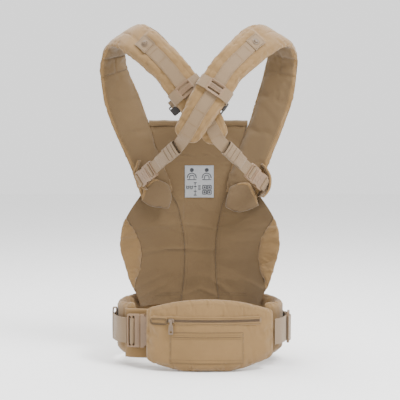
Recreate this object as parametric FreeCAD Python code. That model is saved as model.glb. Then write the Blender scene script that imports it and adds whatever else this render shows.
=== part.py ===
"""Soft baby carrier: bucket panel, waist belt with a lumbar pad, and two crossed padded shoulder straps.

Row frame, millimetres: +X to the right of someone who looks along +Y, +Y forward (the panel hangs in
front of the wearer, the lumbar pad is at the back), +Z up. The origin is on the surface that the belt
stands on, under the middle of the object. "Left" is the -X side and "right" the +X side.
"""
import FreeCAD, Part
import math
import os

V = FreeCAD.Vector

# ---- driving dimensions ------------------------------------------------------------------------------------
GAP = 0.4                      # air left between neighbouring soft pieces
COVER = 2.5                    # cover cloth with its seam allowance
FOAM_GAP = 0.3                 # air between a cover and its foam

BELT_HALF_WIDTH = 166.0        # outer half width of the belt ring
BELT_FRONT_DEPTH = 133.0       # outer depth of the ring in front of the wearer
BELT_BACK_DEPTH = 98.0         # depth of the ellipse that its wings follow at the back
BELT_THICK = 14.0
BELT_TOP_MID, BELT_TOP_SIDE = 130.0, 119.0
BELT_SIDE_LIFT = 32.0          # how far the lower edge rises at the sides
BELT_FLAT_HALF = 75.0          # half length of the flat that it stands on
WING_END_X = 133.0             # the padded wings end here, each side

LUMBAR_X = 18.5                # the lumbar pad sits a little off centre on its webbing
LUMBAR_HALF = 123.5
LUMBAR_FRONT_Y = -129.0        # its outer face at the middle
LUMBAR_RADIUS = 340.0
LUMBAR_INNER_RADIUS = 675.0
LUMBAR_MID_THICK = 26.0
LUMBAR_TOP = 139.0
LUMBAR_AXIS_Y = LUMBAR_FRONT_Y + LUMBAR_RADIUS
LUMBAR_INNER_AXIS_Y = LUMBAR_FRONT_Y + LUMBAR_MID_THICK + LUMBAR_INNER_RADIUS

ZIP_Z = 99.0                   # zipper line on the lumbar pad
ZIP_LEFT_X, ZIP_RIGHT_X = -92.0, 117.0
ZIP_GARAGE_END_X = -62.0
ZIP_SLIDER_X = -54.0
ZIP_BAR_OFFSET = 6.6           # bridge bar of the slider, out from the pad's face

WAIST_WEB, WAIST_WEB_THICK = 50.0, 2.2
WAIST_WEB_Z = 72.0             # centre height of the waist webbing
STRAP_WEB, STRAP_WEB_THICK = 25.0, 1.6

PAD_THICK = 16.0               # shoulder strap pad
PANEL_THICK = 8.0
LEG_PAD_THICK = 13.0
YOKE_TOP = 396.0               # the headrest folds above this line
HEADREST_TOP = 480.0

# Panel levels: height, half width, depth at the middle, depth at the side edge.
PANEL = [
    (98, 122, 113, 60),
    (126, 131, 113, 52),
    (150, 141, 113, 51),
    (170, 148, 113, 50),
    (200, 156, 113, 47),
    (225, 161, 112, 45),
    (252, 159, 110, 47),
    (280, 153, 108, 50),
    (305, 138, 104, 56),
    (329, 121, 101, 62),
]
# Half width of the centre strip and of the inner edge of the leg pads, level by level (0: no leg pad there).
CENTRE_SEAM = [40, 37, 34, 33, 32, 33, 36, 41, 46, 53]
LEG_SEAM = [0, 0, 133, 125, 121, 123, 133, 149, 0, 0]
# The centre strip goes on up to the fold: height, half width, depth at the middle, depth at its own edge.
YOKE = [(364, 61.5, 97, 88), (YOKE_TOP, 72.5, 94, 85)]
HEADREST = [(398.5, 73, 94, 85), (440, 86.5, 91, 83), (HEADREST_TOP, 99, 88, 82)]
# Above the seat the strip leans to the -X side: panel levels, then yoke levels, then headrest levels.
PANEL_LEAN = [0, 0, 0, 0, 0, 0, 0, 0, 0.5, 1]
YOKE_LEAN = [3.5, 5]
HEADREST_LEAN = [5, 4.5, 4.5]

# Shoulder straps, from the panel over the shoulder: centre of the pad, then the vector across it from its
# outer edge to its neck edge. The left strap passes under the right one at the back.
STRAP_FRONT_LEFT = [
    ((-92.5, 71, 342), (64, 26, 4)),
    ((-114, 69, 400), (64, 28, 0)),
    ((-137, 66, 460), (70, 26, -2)),
    ((-159.5, 58, 524), (69, 24, -3)),
    ((-174, 47, 576), (54, 34, 0)),
    ((-174.5, 32, 609), (45, 40, 11)),
    ((-160, 9, 638), (46, 42, 28)),
    ((-140, -22, 645), (51, 28, 44)),
]
STRAP_FRONT_RIGHT = [
    ((89, 71, 342), (-65, 26, 4)),
    ((106.4, 69, 400), (-70, 28, 0)),
    ((131, 66, 460), (-66, 26, -2)),
    ((151.5, 58, 524), (-69, 24, -3)),
    ((163.5, 47, 576), (-63, 26, -2)),
    ((167, 34, 610), (-56, 36, 8)),
    ((160, 9, 638), (-46, 42, 28)),
    ((140, -22, 645), (-51, 28, 44)),
]
STRAP_UNDER = [
    ((-113, -50, 630), (51, 15, 49)),
    ((-80, -70, 600), (50, 6, 46)),
    ((-56, -79, 575), (50, 0, 43)),
    ((-17, -87, 525), (50, 0, 43)),
    ((3, -86, 495), (49, 0, 36)),
    ((18, -81, 473), (47, 0, 31)),
    ((36, -74, 440), (32, 0, 21)),
]
STRAP_OVER = [
    ((113, -53, 632), (-51, 15, 49)),
    ((80, -79, 603), (-52, 5, 46)),
    ((53, -95, 576), (-53, 0, 39)),
    ((19, -111, 525), (-53, 0, 39)),
    ((2, -114, 499), (-53, 0, 31)),
    ((-17, -110, 467), (-50, 0, 22)),
    ((-31, -103, 444), (-34, 0, 20)),
]
STRAIGHT = (10, 11)            # the two stations that the chest slider runs between
LAST_STATION = 14
SLIDER_STATION = 10.77
PATCH_STATION = 8.28           # where the rail webbing is sewn down, under the hood snap
RAIL_START, RAIL_END = 8.1, 13.98

# Webbing from the pad's end, and the far end of the buckle that it carries.
BUCKLE_LINE = {"left": ((-42, -90, 430), (-122, 36, 360)), "right": ((48, -70, 429), (129, 36, 352))}
BUCKLE_ACROSS = {"left": V(0.53, -0.18, -0.83), "right": V(0.53, 0.18, 0.83)}

# Waist buckle, and the plan of the webbing on each side of it.
WAIST_BUCKLE_START, WAIST_BUCKLE_END = (-141, -72), (-72, -85)
WAIST_LEFT_PATH = [(-168, 12), (-170.5, -8), (-171.5, -27)]
WAIST_SLACK_PATH = [(-171.5, -27.4), (-164, -50), (-154, -64), (-142.5, -71.7)]
WAIST_RIGHT_PATH = [(144, -92), (158, -74), (168, -50), (171.5, -24), (169, 4), (167.5, 14)]
GUARD_MID_Z, GUARD_HIGH = 65.0, 96.0
GUARD_PATH = [(-131, -61.5), (-110, -64), (-86, -66)]


# ---- helpers -----------------------------------------------------------------------------------------------
def unit(v):
    return V(v).normalize()


def polygon(points):
    return Part.makePolygon([V(p) for p in points] + [V(points[0])])


def prism(points, direction):
    """A flat outline pushed along a direction."""
    return Part.Face(polygon(points)).extrude(V(direction))


def line(a, b):
    return Part.makeLine(V(a), V(b))


def arc(a, mid, b):
    return Part.Arc(V(a), V(mid), V(b)).toShape()


def fuse(shapes):
    return shapes[0].multiFuse(shapes[1:]).removeSplitter()


def mirror_x(shape):
    return shape.mirror(V(0, 0, 0), V(1, 0, 0))


class Frame:
    """Local frame of a flat piece: a along it, u across it, n out of its face."""

    def __init__(self, origin, along, across):
        self.o = V(origin)
        self.a = unit(along)
        across = V(across)
        self.u = unit(across - self.a * across.dot(self.a))
        self.n = unit(self.a.cross(self.u))

    def at(self, a, u, n):
        return self.o + self.a * a + self.u * u + self.n * n

    def box(self, a0, a1, u0, u1, n0, n1):
        base = [self.at(a0, u0, n0), self.at(a1, u0, n0), self.at(a1, u1, n0), self.at(a0, u1, n0)]
        return prism(base, self.n * (n1 - n0))

    def post(self, a, u, n0, n1, radius):
        return Part.makeCylinder(radius, n1 - n0, self.at(a, u, n0), self.n)

    def section(self, width, n0, thick):
        """A flat webbing section, from n0 out."""
        corners = [(-width / 2, n0), (width / 2, n0), (width / 2, n0 + thick), (-width / 2, n0 + thick)]
        return polygon([self.at(0, u, n) for u, n in corners])


def upright_band(path, z, width, thick):
    """Webbing standing on edge that follows a plan path, as a ruled loft centred on it."""
    sections = []
    for k, (x, y) in enumerate(path):
        before, after = path[max(k - 1, 0)], path[min(k + 1, len(path) - 1)]
        along = V(after[0] - before[0], after[1] - before[1], 0)
        frame = Frame((x, y, z), along, (0, 0, 1))
        sections.append(frame.section(width, -thick / 2, thick))
    return Part.makeLoft(sections, True, True)


def sleeve(frame, length, width, thick, wall):
    """A flat tube round a webbing, centred on its frame."""
    outer = frame.box(-length / 2, length / 2, -width / 2, width / 2, -thick / 2, thick / 2)
    half_w, half_t = width / 2 - wall, thick / 2 - wall
    return outer.cut(frame.box(-length, length, -half_w, half_w, -half_t, half_t))


# ---- waist belt --------------------------------------------------------------------------------------------
def half_ellipse(half_width, depth, start, end):
    ellipse = Part.Ellipse(V(0, 0, 0), half_width, depth)
    return Part.ArcOfEllipse(ellipse, math.radians(start), math.radians(end)).toShape()


def belt_outline(inset):
    """The belt seen from the front: flat in the middle of its lower edge, rising to the sides."""
    side, low, top = BELT_HALF_WIDTH + 5, inset, BELT_TOP_MID - inset
    rise, high = low + BELT_SIDE_LIFT, BELT_TOP_SIDE - inset
    knee_x, knee_z = 125, low + 0.36 * BELT_SIDE_LIFT
    edges = [
        line((-BELT_FLAT_HALF, 0, low), (BELT_FLAT_HALF, 0, low)),
        arc((BELT_FLAT_HALF, 0, low), (knee_x, 0, knee_z), (side, 0, rise)),
        line((side, 0, rise), (side, 0, high)),
        arc((side, 0, high), (0, 0, top), (-side, 0, high)),
        line((-side, 0, high), (-side, 0, rise)),
        arc((-side, 0, rise), (-knee_x, 0, knee_z), (-BELT_FLAT_HALF, 0, low)),
    ]
    outline = Part.Wire(edges)
    outline.translate(V(0, -BELT_FRONT_DEPTH, 0))
    return Part.Face(outline).extrude(V(0, 2 * BELT_FRONT_DEPTH + 10, 0))


def belt_solid(inset):
    """The belt's C-shaped ring, or the space that many millimetres inside it."""
    sweep = math.degrees(math.acos((WING_END_X + 2 * inset) / BELT_HALF_WIDTH))
    rings = []
    for shrink in (inset, BELT_THICK - inset):
        a, front, back = (size - shrink for size in (BELT_HALF_WIDTH, BELT_FRONT_DEPTH, BELT_BACK_DEPTH))
        rings.append([
            half_ellipse(a, back, 360 - sweep, 360),
            half_ellipse(a, front, 0, 180),
            half_ellipse(a, back, 180, 180 + sweep),
        ])
    outer, inner = rings
    caps = [
        line(outer[0].Vertexes[0].Point, inner[0].Vertexes[0].Point),
        line(outer[2].Vertexes[1].Point, inner[2].Vertexes[1].Point),
    ]
    face = Part.Face(Part.Wire(Part.__sortEdges__(outer + inner + caps)))
    return face.extrude(V(0, 0, BELT_TOP_MID + 10)).common(belt_outline(inset))


# ---- lumbar pad and its pocket -----------------------------------------------------------------------------
def lumbar_point(x, radius, axis_y=LUMBAR_AXIS_Y, z=0.0):
    return V(x, axis_y - math.sqrt(radius ** 2 - (x - LUMBAR_X) ** 2), z)


def lumbar_solid(inset):
    """The lumbar pad: two upright arcs in plan, cut to its lens-shaped outline."""
    half = LUMBAR_HALF - inset
    x0, x1 = LUMBAR_X - half, LUMBAR_X + half
    outer = [lumbar_point(x, LUMBAR_RADIUS - inset) for x in (x0, LUMBAR_X, x1)]
    inner = [lumbar_point(x, LUMBAR_INNER_RADIUS + inset, LUMBAR_INNER_AXIS_Y) for x in (x1, LUMBAR_X, x0)]
    plan = Part.Wire([arc(*outer), line(outer[2], inner[0]), arc(*inner), line(inner[2], outer[0])])
    block = Part.Face(plan).extrude(V(0, 0, LUMBAR_TOP + 10))
    low, high = inset, LUMBAR_TOP - inset
    flat_left, flat_right = -33.0, 70.0
    left_low, right_low, left_high, right_high = low + 19, low + 27, 119 - inset, 116 - inset
    outline = Part.Wire([
        line((flat_left, 0, low), (flat_right, 0, low)),
        arc((flat_right, 0, low), (110, 0, low + 9.5), (x1, 0, right_low)),
        line((x1, 0, right_low), (x1, 0, right_high)),
        arc((x1, 0, right_high), (LUMBAR_X, 0, high), (x0, 0, left_high)),
        line((x0, 0, left_high), (x0, 0, left_low)),
        arc((x0, 0, left_low), (-73, 0, low + 6.5), (flat_left, 0, low)),
    ])
    outline.translate(V(0, -200, 0))
    return block.common(Part.Face(outline).extrude(V(0, 200, 0)))


def lumbar_band(lift, thick, x0, x1, z0, z1):
    """A thin piece on the lumbar pad's face, lifted off it a little."""
    r0, r1 = LUMBAR_RADIUS + lift, LUMBAR_RADIUS + lift + thick
    mid = (x0 + x1) / 2
    edges = [
        arc(lumbar_point(x0, r1), lumbar_point(mid, r1), lumbar_point(x1, r1)),
        line(lumbar_point(x1, r1), lumbar_point(x1, r0)),
        arc(lumbar_point(x1, r0), lumbar_point(mid, r0), lumbar_point(x0, r0)),
        line(lumbar_point(x0, r0), lumbar_point(x0, r1)),
    ]
    band = Part.Face(Part.Wire(edges)).extrude(V(0, 0, z1 - z0))
    band.translate(V(0, 0, z0))
    return band


def zipper_frame():
    """On the pad's face at the slider: a along the zipper, u up, n out of the face."""
    angle = math.asin((ZIP_SLIDER_X - LUMBAR_X) / LUMBAR_RADIUS)
    origin = lumbar_point(ZIP_SLIDER_X, LUMBAR_RADIUS, z=ZIP_Z)
    return Frame(origin, (math.cos(angle), math.sin(angle), 0), (0, 0, 1))


def zipper_slider():
    """Slider body with two posts and the bridge bar that the pull hangs from."""
    f = zipper_frame()
    body = f.box(-5.5, 5.5, -4.2, 4.2, 1.8, 4.3)
    bar = Part.makeCylinder(0.9, 9.0, f.at(-4.5, 0, ZIP_BAR_OFFSET), f.a)
    posts = [f.box(a, a + 1.6, -1.2, 1.2, 4.0, ZIP_BAR_OFFSET + 0.9) for a in (-4.5, 2.9)]
    return fuse([body, bar] + posts)


def zipper_pull():
    """Pull with a knuckle round the bridge bar, hanging straight down."""
    f = zipper_frame()
    knuckle = Part.makeCylinder(1.9, 5.0, f.at(-2.5, 0, ZIP_BAR_OFFSET), f.a)
    neck = f.box(-2.5, 2.5, -7.0, -1.0, ZIP_BAR_OFFSET - 0.8, ZIP_BAR_OFFSET + 0.8)
    tab = f.box(-4.7, 4.7, -26.0, -5.5, ZIP_BAR_OFFSET - 0.8, ZIP_BAR_OFFSET + 0.8)
    bore = Part.makeCylinder(1.2, 10.0, f.at(-5, 0, ZIP_BAR_OFFSET), f.a)
    return fuse([knuckle, neck, tab]).cut(bore)


# ---- panel -------------------------------------------------------------------------------------------------
def level_depth(level, x):
    """Depth of the panel's middle surface on one level: an arc through its middle and its two edges."""
    _, half, mid, side = level
    sag = mid - side
    radius = (half ** 2 + sag ** 2) / (2 * sag)
    return mid - radius + math.sqrt(radius ** 2 - x ** 2)


def strip_wire(level, x0, x1, thick):
    """Level section of a strip of the panel between two offsets from the middle."""
    z = level[0]
    middle = [V(x, level_depth(level, x), z) for x in (x0, (x0 + x1) / 2, x1)]
    near, far = [[point + V(0, y, 0) for point in middle] for y in (-thick / 2, thick / 2)]
    return Part.Wire([arc(*near), line(near[2], far[2]), arc(*far[::-1]), line(far[0], near[0])])


def strip(levels, starts, ends, thick):
    wires = [strip_wire(level, x0, x1, thick) for level, x0, x1 in zip(levels, starts, ends)]
    return Part.makeLoft(wires, True, True)


def leaning_strip(levels, halves, leans, thick):
    starts = [-half - lean for half, lean in zip(halves, leans)]
    return strip(levels, starts, [half - lean for half, lean in zip(halves, leans)], thick)


def panel_centre():
    levels = PANEL + YOKE
    halves = CENTRE_SEAM + [level[1] for level in YOKE]
    return leaning_strip(levels, halves, PANEL_LEAN + YOKE_LEAN, PANEL_THICK)


def panel_side(side):
    """One side: from the centre seam out to the edge, or to the leg pad where there is one."""
    lean_way = 1 if side == "left" else -1
    inner = [seam + lean_way * lean + GAP for seam, lean in zip(CENTRE_SEAM, PANEL_LEAN)]
    outer = [leg - GAP if leg else level[1] for leg, level in zip(LEG_SEAM, PANEL)]
    shape = strip(PANEL, inner, outer, PANEL_THICK)
    return mirror_x(shape) if side == "left" else shape


def leg_pad():
    """Padded crescent along the leg opening, +X side."""
    rows = [(level, seam) for level, seam in zip(PANEL, LEG_SEAM) if seam]
    levels = [level for level, _ in rows]
    return strip(levels, [seam for _, seam in rows], [level[1] + 2.0 for level in levels], LEG_PAD_THICK)


def headrest_solid(inset):
    heights = [HEADREST[0][0] + inset, HEADREST[1][0], HEADREST_TOP - inset]
    moved = [(z, half, mid, side) for z, (_, half, mid, side) in zip(heights, HEADREST)]
    halves = [half - inset for _, half, _, _ in moved]
    return leaning_strip(moved, halves, HEADREST_LEAN, PANEL_THICK + 4 - 2 * inset)


def care_label():
    """Sewn-in label on the wearer's side of the centre strip."""
    levels = [(321, 53, 102, 95.3), (359, 63.7, 97.6, 88.8), (388, 71.8, 94.7, 85.8)]
    lift = PANEL_THICK / 2 + 1.2
    wires = []
    for z, half, mid, side in levels:
        wires.append(strip_wire((z, half, mid - lift, side - lift), -31.5, 28.5, 0.8))
    return Part.makeLoft(wires, True, True)


# ---- shoulder straps ---------------------------------------------------------------------------------------
def strap_rows(side):
    rows = STRAP_FRONT_LEFT + STRAP_UNDER if side == "left" else STRAP_FRONT_RIGHT + STRAP_OVER
    return [(V(centre), V(across)) for centre, across in rows]


def strap_slope(rows, k):
    if k in STRAIGHT:
        first, last = STRAIGHT
    else:
        first, last = max(k - 1, 0), min(k + 1, LAST_STATION)
    return unit(rows[last][0] - rows[first][0])


def strap_frame(side, station):
    """Frame on a strap at a station number: a along it, u to its neck or outer edge, n out of its outer face."""
    rows = strap_rows(side)
    k = min(int(station), LAST_STATION - 1)
    t = station - k
    centre = rows[k][0] * (1 - t) + rows[k + 1][0] * t
    across = rows[k][1] * (1 - t) + rows[k + 1][1] * t
    along = strap_slope(rows, k) * (1 - t) + strap_slope(rows, k + 1) * t
    frame = Frame(centre, along, across if side == "left" else across * -1)
    frame.half = across.Length / 2
    return frame


def strap_pad(side, edge, half_thick, shorten):
    """Pillow-shaped pad, an eight-sided section at each station."""
    corners = [(-1, -0.3), (-0.84, -1), (0.84, -1), (1, -0.3), (1, 0.3), (0.84, 1), (-0.84, 1), (-1, 0.3)]
    wires = []
    for k in range(LAST_STATION + 1):
        f = strap_frame(side, k)
        shift = shorten if k == 0 else -shorten if k == LAST_STATION else 0
        wires.append(polygon([f.at(shift, u * (f.half - edge), n * half_thick) for u, n in corners]))
    return Part.makeLoft(wires, True, True)


def rail_webbing(side):
    """Webbing sewn along the pad's outer face, from the snap patch to the pad's end."""
    stations = [RAIL_START] + list(range(9, LAST_STATION)) + [RAIL_END]
    low = PAD_THICK / 2 + GAP
    sections = [strap_frame(side, s).section(STRAP_WEB, low, STRAP_WEB_THICK) for s in stations]
    return Part.makeLoft(sections, True, True)


PATCH_LOW = PAD_THICK / 2 + STRAP_WEB_THICK + 2.2
SLIDER_LOW = PAD_THICK / 2 + STRAP_WEB_THICK + 0.8
SLIDER_HIGH = SLIDER_LOW + 4.0
SLIDER_HALF_LENGTH, SLIDER_HALF_WIDTH = 13.0, 17.0
BAND_HALF_WIDTH, BAND_THICK = 12.5, 1.4


def anchor_patch(side):
    return strap_frame(side, PATCH_STATION).box(-14, 14, -14.5, 14.5, PATCH_LOW, PATCH_LOW + 1.4)


def hood_snap(side):
    f = strap_frame(side, PATCH_STATION)
    low = PATCH_LOW + 1.4
    return fuse([f.post(0, 0, low, low + 1.0, 6.5), f.post(0, 0, low, low + 3.2, 3.8)])


def chest_slider(side):
    """Two-slot plastic slider that runs on the rail webbing."""
    f = strap_frame(side, SLIDER_STATION)
    long, wide = SLIDER_HALF_LENGTH, SLIDER_HALF_WIDTH
    body = f.box(-long, long, -wide, wide, SLIDER_LOW, SLIDER_HIGH)
    thumb_edge = f.box(-long, 2.5 - long, -12, 12, SLIDER_HIGH - 0.5, SLIDER_HIGH + 1.2)
    slots = [f.box(a, a + 2.6, -13.2, 13.2, SLIDER_LOW - 1, SLIDER_HIGH + 1) for a in (-7.0, 4.5)]
    return fuse([body, thumb_edge]).cut(slots[0]).cut(slots[1])


def chest_band(side):
    """Elastic loop round the pad, open where the slider sits."""
    f = strap_frame(side, SLIDER_STATION)
    half, high = f.half + 1.2, PAD_THICK / 2 + 0.6
    wide, deep = half + BAND_THICK, high + BAND_THICK
    loop = f.box(-BAND_HALF_WIDTH, BAND_HALF_WIDTH, -wide, wide, -deep, deep)
    hollow = f.box(-2 * BAND_HALF_WIDTH, 2 * BAND_HALF_WIDTH, -half, half, -high, high)
    opening = SLIDER_HALF_WIDTH + GAP
    slot = f.box(-2 * BAND_HALF_WIDTH, 2 * BAND_HALF_WIDTH, -opening, opening, high - 1, deep + 5)
    return loop.cut(hollow).cut(slot)


def chest_clip(side):
    """One half of the chest buckle, stowed against the pad's inner face."""
    f = strap_frame(side, SLIDER_STATION)
    outer_edge = -f.half if side == "left" else f.half
    inward = 13.0 if side == "left" else -4.0
    f.o = f.at(0, outer_edge + inward * math.copysign(1, outer_edge), -PAD_THICK / 2 - 3.0)
    body = f.box(2, 28, -13, 13, -6.0, -0.6)
    bar_slot = f.box(5, 8.5, -10.5, 10.5, -8, 1)
    if side == "left":
        return body.cut(bar_slot).cut(f.box(14, 29, -11, 11, -4.6, -1.9))
    prongs = [f.box(27, 41, u, u + w, -4.6, -2.0) for u, w in ((-11, 3.5), (-2.5, 5), (7.5, 3.5))]
    return fuse([body.cut(bar_slot)] + prongs)


# ---- side-release buckles ----------------------------------------------------------------------------------
class Buckle:
    """Plug and socket for one webbing width; a runs from the plug's bar into the socket."""

    def __init__(self, frame, webbing):
        scale = webbing / STRAP_WEB
        self.f = frame
        self.web = webbing
        self.half = 0.64 * webbing + 0.4
        self.t = 2.0 + 2.1 * scale
        self.body = 18.0 + 4.0 * scale       # plug's frame, outside the socket
        self.reach = 16.0 + 4.0 * scale      # plug's arms, inside the socket
        self.socket_start = self.body + 0.6
        self.end = self.socket_start + 30.0 + 8.0 * scale
        self.wall = 1.9
        self.slot = 4.6

    def plug(self):
        f, h, t, b = self.f, self.half, self.t, self.body
        frame = f.box(0, b, -h, h, -t, t)
        for a in (3.2, 11.0):
            frame = frame.cut(f.box(a, a + 3.6, -h + 3.4, h - 3.4, -t - 1, t + 1))
        half_arm, inner = t - self.wall - 0.4, h - self.wall - 0.5
        guide = f.box(b - 1, b + 0.8 * self.reach, -0.16 * self.web, 0.16 * self.web, -half_arm, half_arm)
        arms = []
        for s in (-1, 1):
            outline = [(b - 1, 0.55), (b + self.reach, 0.72), (b + self.reach, 0.93), (b + 0.55 * self.reach, 1.0),
                       (b + 0.45 * self.reach, 0.86), (b - 1, 0.8)]
            arms.append(prism([f.at(a, s * u * inner, -half_arm) for a, u in outline], f.n * (2 * half_arm)))
        return fuse([frame, guide] + arms)

    def socket(self):
        f, h, t, start, end = self.f, self.half, self.t, self.socket_start, self.end
        inner = t - self.wall
        shell = f.box(start, end, -h, h, -t, t)
        cavity = f.box(start - 1, start + self.reach + 2, -h + self.wall, h - self.wall, -inner, inner)
        windows = f.box(start + 0.35 * self.reach, start + 0.95 * self.reach, -h - 1, h + 1, -inner, inner)
        bar_slot = f.box(end - 3.2 - self.slot, end - 3.2, -h + 3.4, h - 3.4, -t - 1, t + 1)
        return shell.cut(cavity).cut(windows).cut(bar_slot)

    def end_loop(self, width, reach, thick):
        """Webbing loop through the socket's bar slot, closed beyond the socket's end."""
        f, t = self.f, self.t
        start = self.end - 3.2 - self.slot / 2 - thick / 2
        rise = t + 0.5
        outer = f.box(start, self.end + reach, -width / 2, width / 2, -rise - thick, rise + thick)
        return outer.cut(f.box(start + thick, self.end + reach - thick, -width, width, -rise, rise))


def shoulder_buckle(side):
    start, end = (V(p) for p in BUCKLE_LINE[side])
    frame = Frame(start, end - start, BUCKLE_ACROSS[side])
    length = Buckle(frame, STRAP_WEB).end
    frame.free = (end - start).Length - length
    frame.o = frame.at(frame.free, 0, 0)
    return Buckle(frame, STRAP_WEB)


def strap_webbing(side):
    """Free webbing between the pad's end and the plug's bar."""
    b = shoulder_buckle(side)
    return b.f.box(-b.f.free, -GAP, -STRAP_WEB / 2, STRAP_WEB / 2, 0, STRAP_WEB_THICK)


def webbing_keeper(side):
    """Elastic keeper round the webbing and its rolled-up tail, at the pad's end."""
    b = shoulder_buckle(side)
    f = b.f
    half = STRAP_WEB / 2
    outer = f.box(4 - f.free, 46 - f.free, -half - 1.6, half + 1.6, -1.8, STRAP_WEB_THICK + 6.0)
    tunnel = f.box(-f.free, 50 - f.free, -half - 0.4, half + 0.4, -0.5, STRAP_WEB_THICK + 0.5)
    return outer.cut(tunnel)


# Padded flap that covers the strap's root, -X side: its outline as X and Z.
TAB_OUTLINE = [(-122, 326), (-111, 344), (-88, 358), (-62, 352), (-56, 305), (-80, 301), (-97, 306)]


def shoulder_tab():
    flap = prism([(x, 55.5, z) for x, z in TAB_OUTLINE], (0, 5.5, 0))
    flap.rotate(V(-90, 61, 330), V(0, 0, 1), 22.4)
    return flap


# ---- waist webbing and its hardware --------------------------------------------------------------------------
def waist_buckle():
    (x0, y0), (x1, y1) = WAIST_BUCKLE_START, WAIST_BUCKLE_END
    return Buckle(Frame((x0, y0, WAIST_WEB_Z), (x1 - x0, y1 - y0, 0), (0, 0, 1)), WAIST_WEB)


def waist_webbing_back():
    """Webbing through the lumbar pad's back channel, from the buckle's bar to the pad's far end."""
    r1 = LUMBAR_INNER_RADIUS - 0.8
    r0 = r1 - WAIST_WEB_THICK
    x0, x1 = -52.0, LUMBAR_X + LUMBAR_HALF - 2
    mid = (x0 + x1) / 2
    near, far = [[lumbar_point(x, r, LUMBAR_INNER_AXIS_Y) for x in (x0, mid, x1)] for r in (r1, r0)]
    outline = Part.Wire([arc(*near), line(near[2], far[2]), arc(*far[::-1]), line(far[0], near[0])])
    band = Part.Face(outline).extrude(V(0, 0, WAIST_WEB))
    band.translate(V(0, 0, WAIST_WEB_Z - WAIST_WEB / 2))
    return band


def side_frame(x, y, along_x, along_y):
    return Frame((x, y, WAIST_WEB_Z), (along_x, along_y, 0), (0, 0, 1))


def waist_keeper():
    """Elastic keeper round the webbing on the left wing."""
    return sleeve(side_frame(-170.8, -14, -0.06, -1), 13, WAIST_WEB + 8, 6.4, 1.5)


def waist_adjuster():
    """Ladder adjuster on the right wing: a frame with a middle bar."""
    f = side_frame(171.2, -27, 0.12, 1)
    body = f.box(-16, 16, -31, 31, 1.6, 6.6)
    slots = [f.box(a, a + 4, -26.5, 26.5, 0, 8) for a in (-10, 6)]
    return body.cut(slots[0]).cut(slots[1])


# ---- build -------------------------------------------------------------------------------------------------
def shell_and_foam(name, solid):
    """A closed cover with a hidden space, and the foam in it, from one shape function of the inset."""
    return {f"{name}_cover": solid(0).cut(solid(COVER)), f"{name}_foam": solid(COVER + FOAM_GAP)}


def belt_and_lumbar():
    made = shell_and_foam("belt", belt_solid)
    made.update(shell_and_foam("lumbar", lumbar_solid))
    made["pocket_patch"] = lumbar_band(0.4, 1.2, -57, 82, 17, 77)
    made["zipper_tape"] = lumbar_band(0.3, 0.7, ZIP_LEFT_X, ZIP_RIGHT_X, ZIP_Z - 6, ZIP_Z + 6)
    made["zipper_teeth"] = lumbar_band(1.0, 0.5, ZIP_GARAGE_END_X + 1, ZIP_RIGHT_X - 3, ZIP_Z - 1.6, ZIP_Z + 1.6)
    made["zipper_garage"] = lumbar_band(1.3, 2.6, ZIP_LEFT_X - 2, ZIP_GARAGE_END_X, ZIP_Z - 6.5, ZIP_Z + 6.5)
    made["zipper_slider"] = zipper_slider()
    made["zipper_pull"] = zipper_pull()
    return made


def waist_hardware():
    buckle = waist_buckle()
    return {
        "waist_webbing_left": upright_band(WAIST_LEFT_PATH, WAIST_WEB_Z, WAIST_WEB, WAIST_WEB_THICK),
        "waist_webbing_slack": upright_band(WAIST_SLACK_PATH, WAIST_WEB_Z, WAIST_WEB, WAIST_WEB_THICK),
        "waist_keeper": waist_keeper(),
        "waist_buckle_plug": buckle.plug(),
        "waist_buckle_socket": buckle.socket(),
        "waist_socket_loop": buckle.end_loop(WAIST_WEB, 10, WAIST_WEB_THICK),
        "waist_buckle_guard": upright_band(GUARD_PATH, GUARD_MID_Z, GUARD_HIGH, 3.0),
        "waist_webbing_back": waist_webbing_back(),
        "waist_webbing_right": upright_band(WAIST_RIGHT_PATH, WAIST_WEB_Z, WAIST_WEB, WAIST_WEB_THICK),
        "waist_adjuster": waist_adjuster(),
    }


def panel_pieces():
    made = {"panel_centre": panel_centre(), "care_label": care_label()}
    made.update({f"panel_side_{side}": panel_side(side) for side in ("left", "right")})
    made.update(leg_pad_right=leg_pad(), leg_pad_left=mirror_x(leg_pad()))
    made.update(shell_and_foam("headrest", headrest_solid))
    made.update(shoulder_tab_left=shoulder_tab(), shoulder_tab_right=mirror_x(shoulder_tab()))
    return made


def strap_pieces(side):
    outer = strap_pad(side, 0, PAD_THICK / 2, 0)
    space = strap_pad(side, COVER * 2, PAD_THICK / 2 - COVER, 8)
    buckle = shoulder_buckle(side)
    made = {
        "strap_cover": outer.cut(space),
        "strap_foam": strap_pad(side, COVER * 2 + FOAM_GAP, PAD_THICK / 2 - COVER - FOAM_GAP, 9),
        "rail_webbing": rail_webbing(side),
        "anchor_patch": anchor_patch(side),
        "hood_snap": hood_snap(side),
        "chest_slider": chest_slider(side),
        "chest_band": chest_band(side),
        "chest_clip": chest_clip(side),
        "strap_webbing": strap_webbing(side),
        "webbing_keeper": webbing_keeper(side),
        "shoulder_plug": buckle.plug(),
        "shoulder_socket": buckle.socket(),
        "socket_loop": buckle.end_loop(STRAP_WEB, 11, STRAP_WEB_THICK),
    }
    return {f"{name}_{side}": shape for name, shape in made.items()}


def build():
    made = belt_and_lumbar()
    made.update(waist_hardware())
    made.update(panel_pieces())
    for side in ("left", "right"):
        made.update(strap_pieces(side))
    return made


if __name__ == "__main__":
    os.makedirs("parts", exist_ok=True)
    for node, shape in build().items():
        shape.exportStep(f"parts/{node}.step")
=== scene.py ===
"""Looks of the soft baby carrier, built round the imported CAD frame.

Shapes are worked out in millimetres and turned to metres as each mesh is made. Left is the -X side.
"""
import bmesh
import bpy
import math
import numpy as np
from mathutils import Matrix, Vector, kdtree


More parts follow.
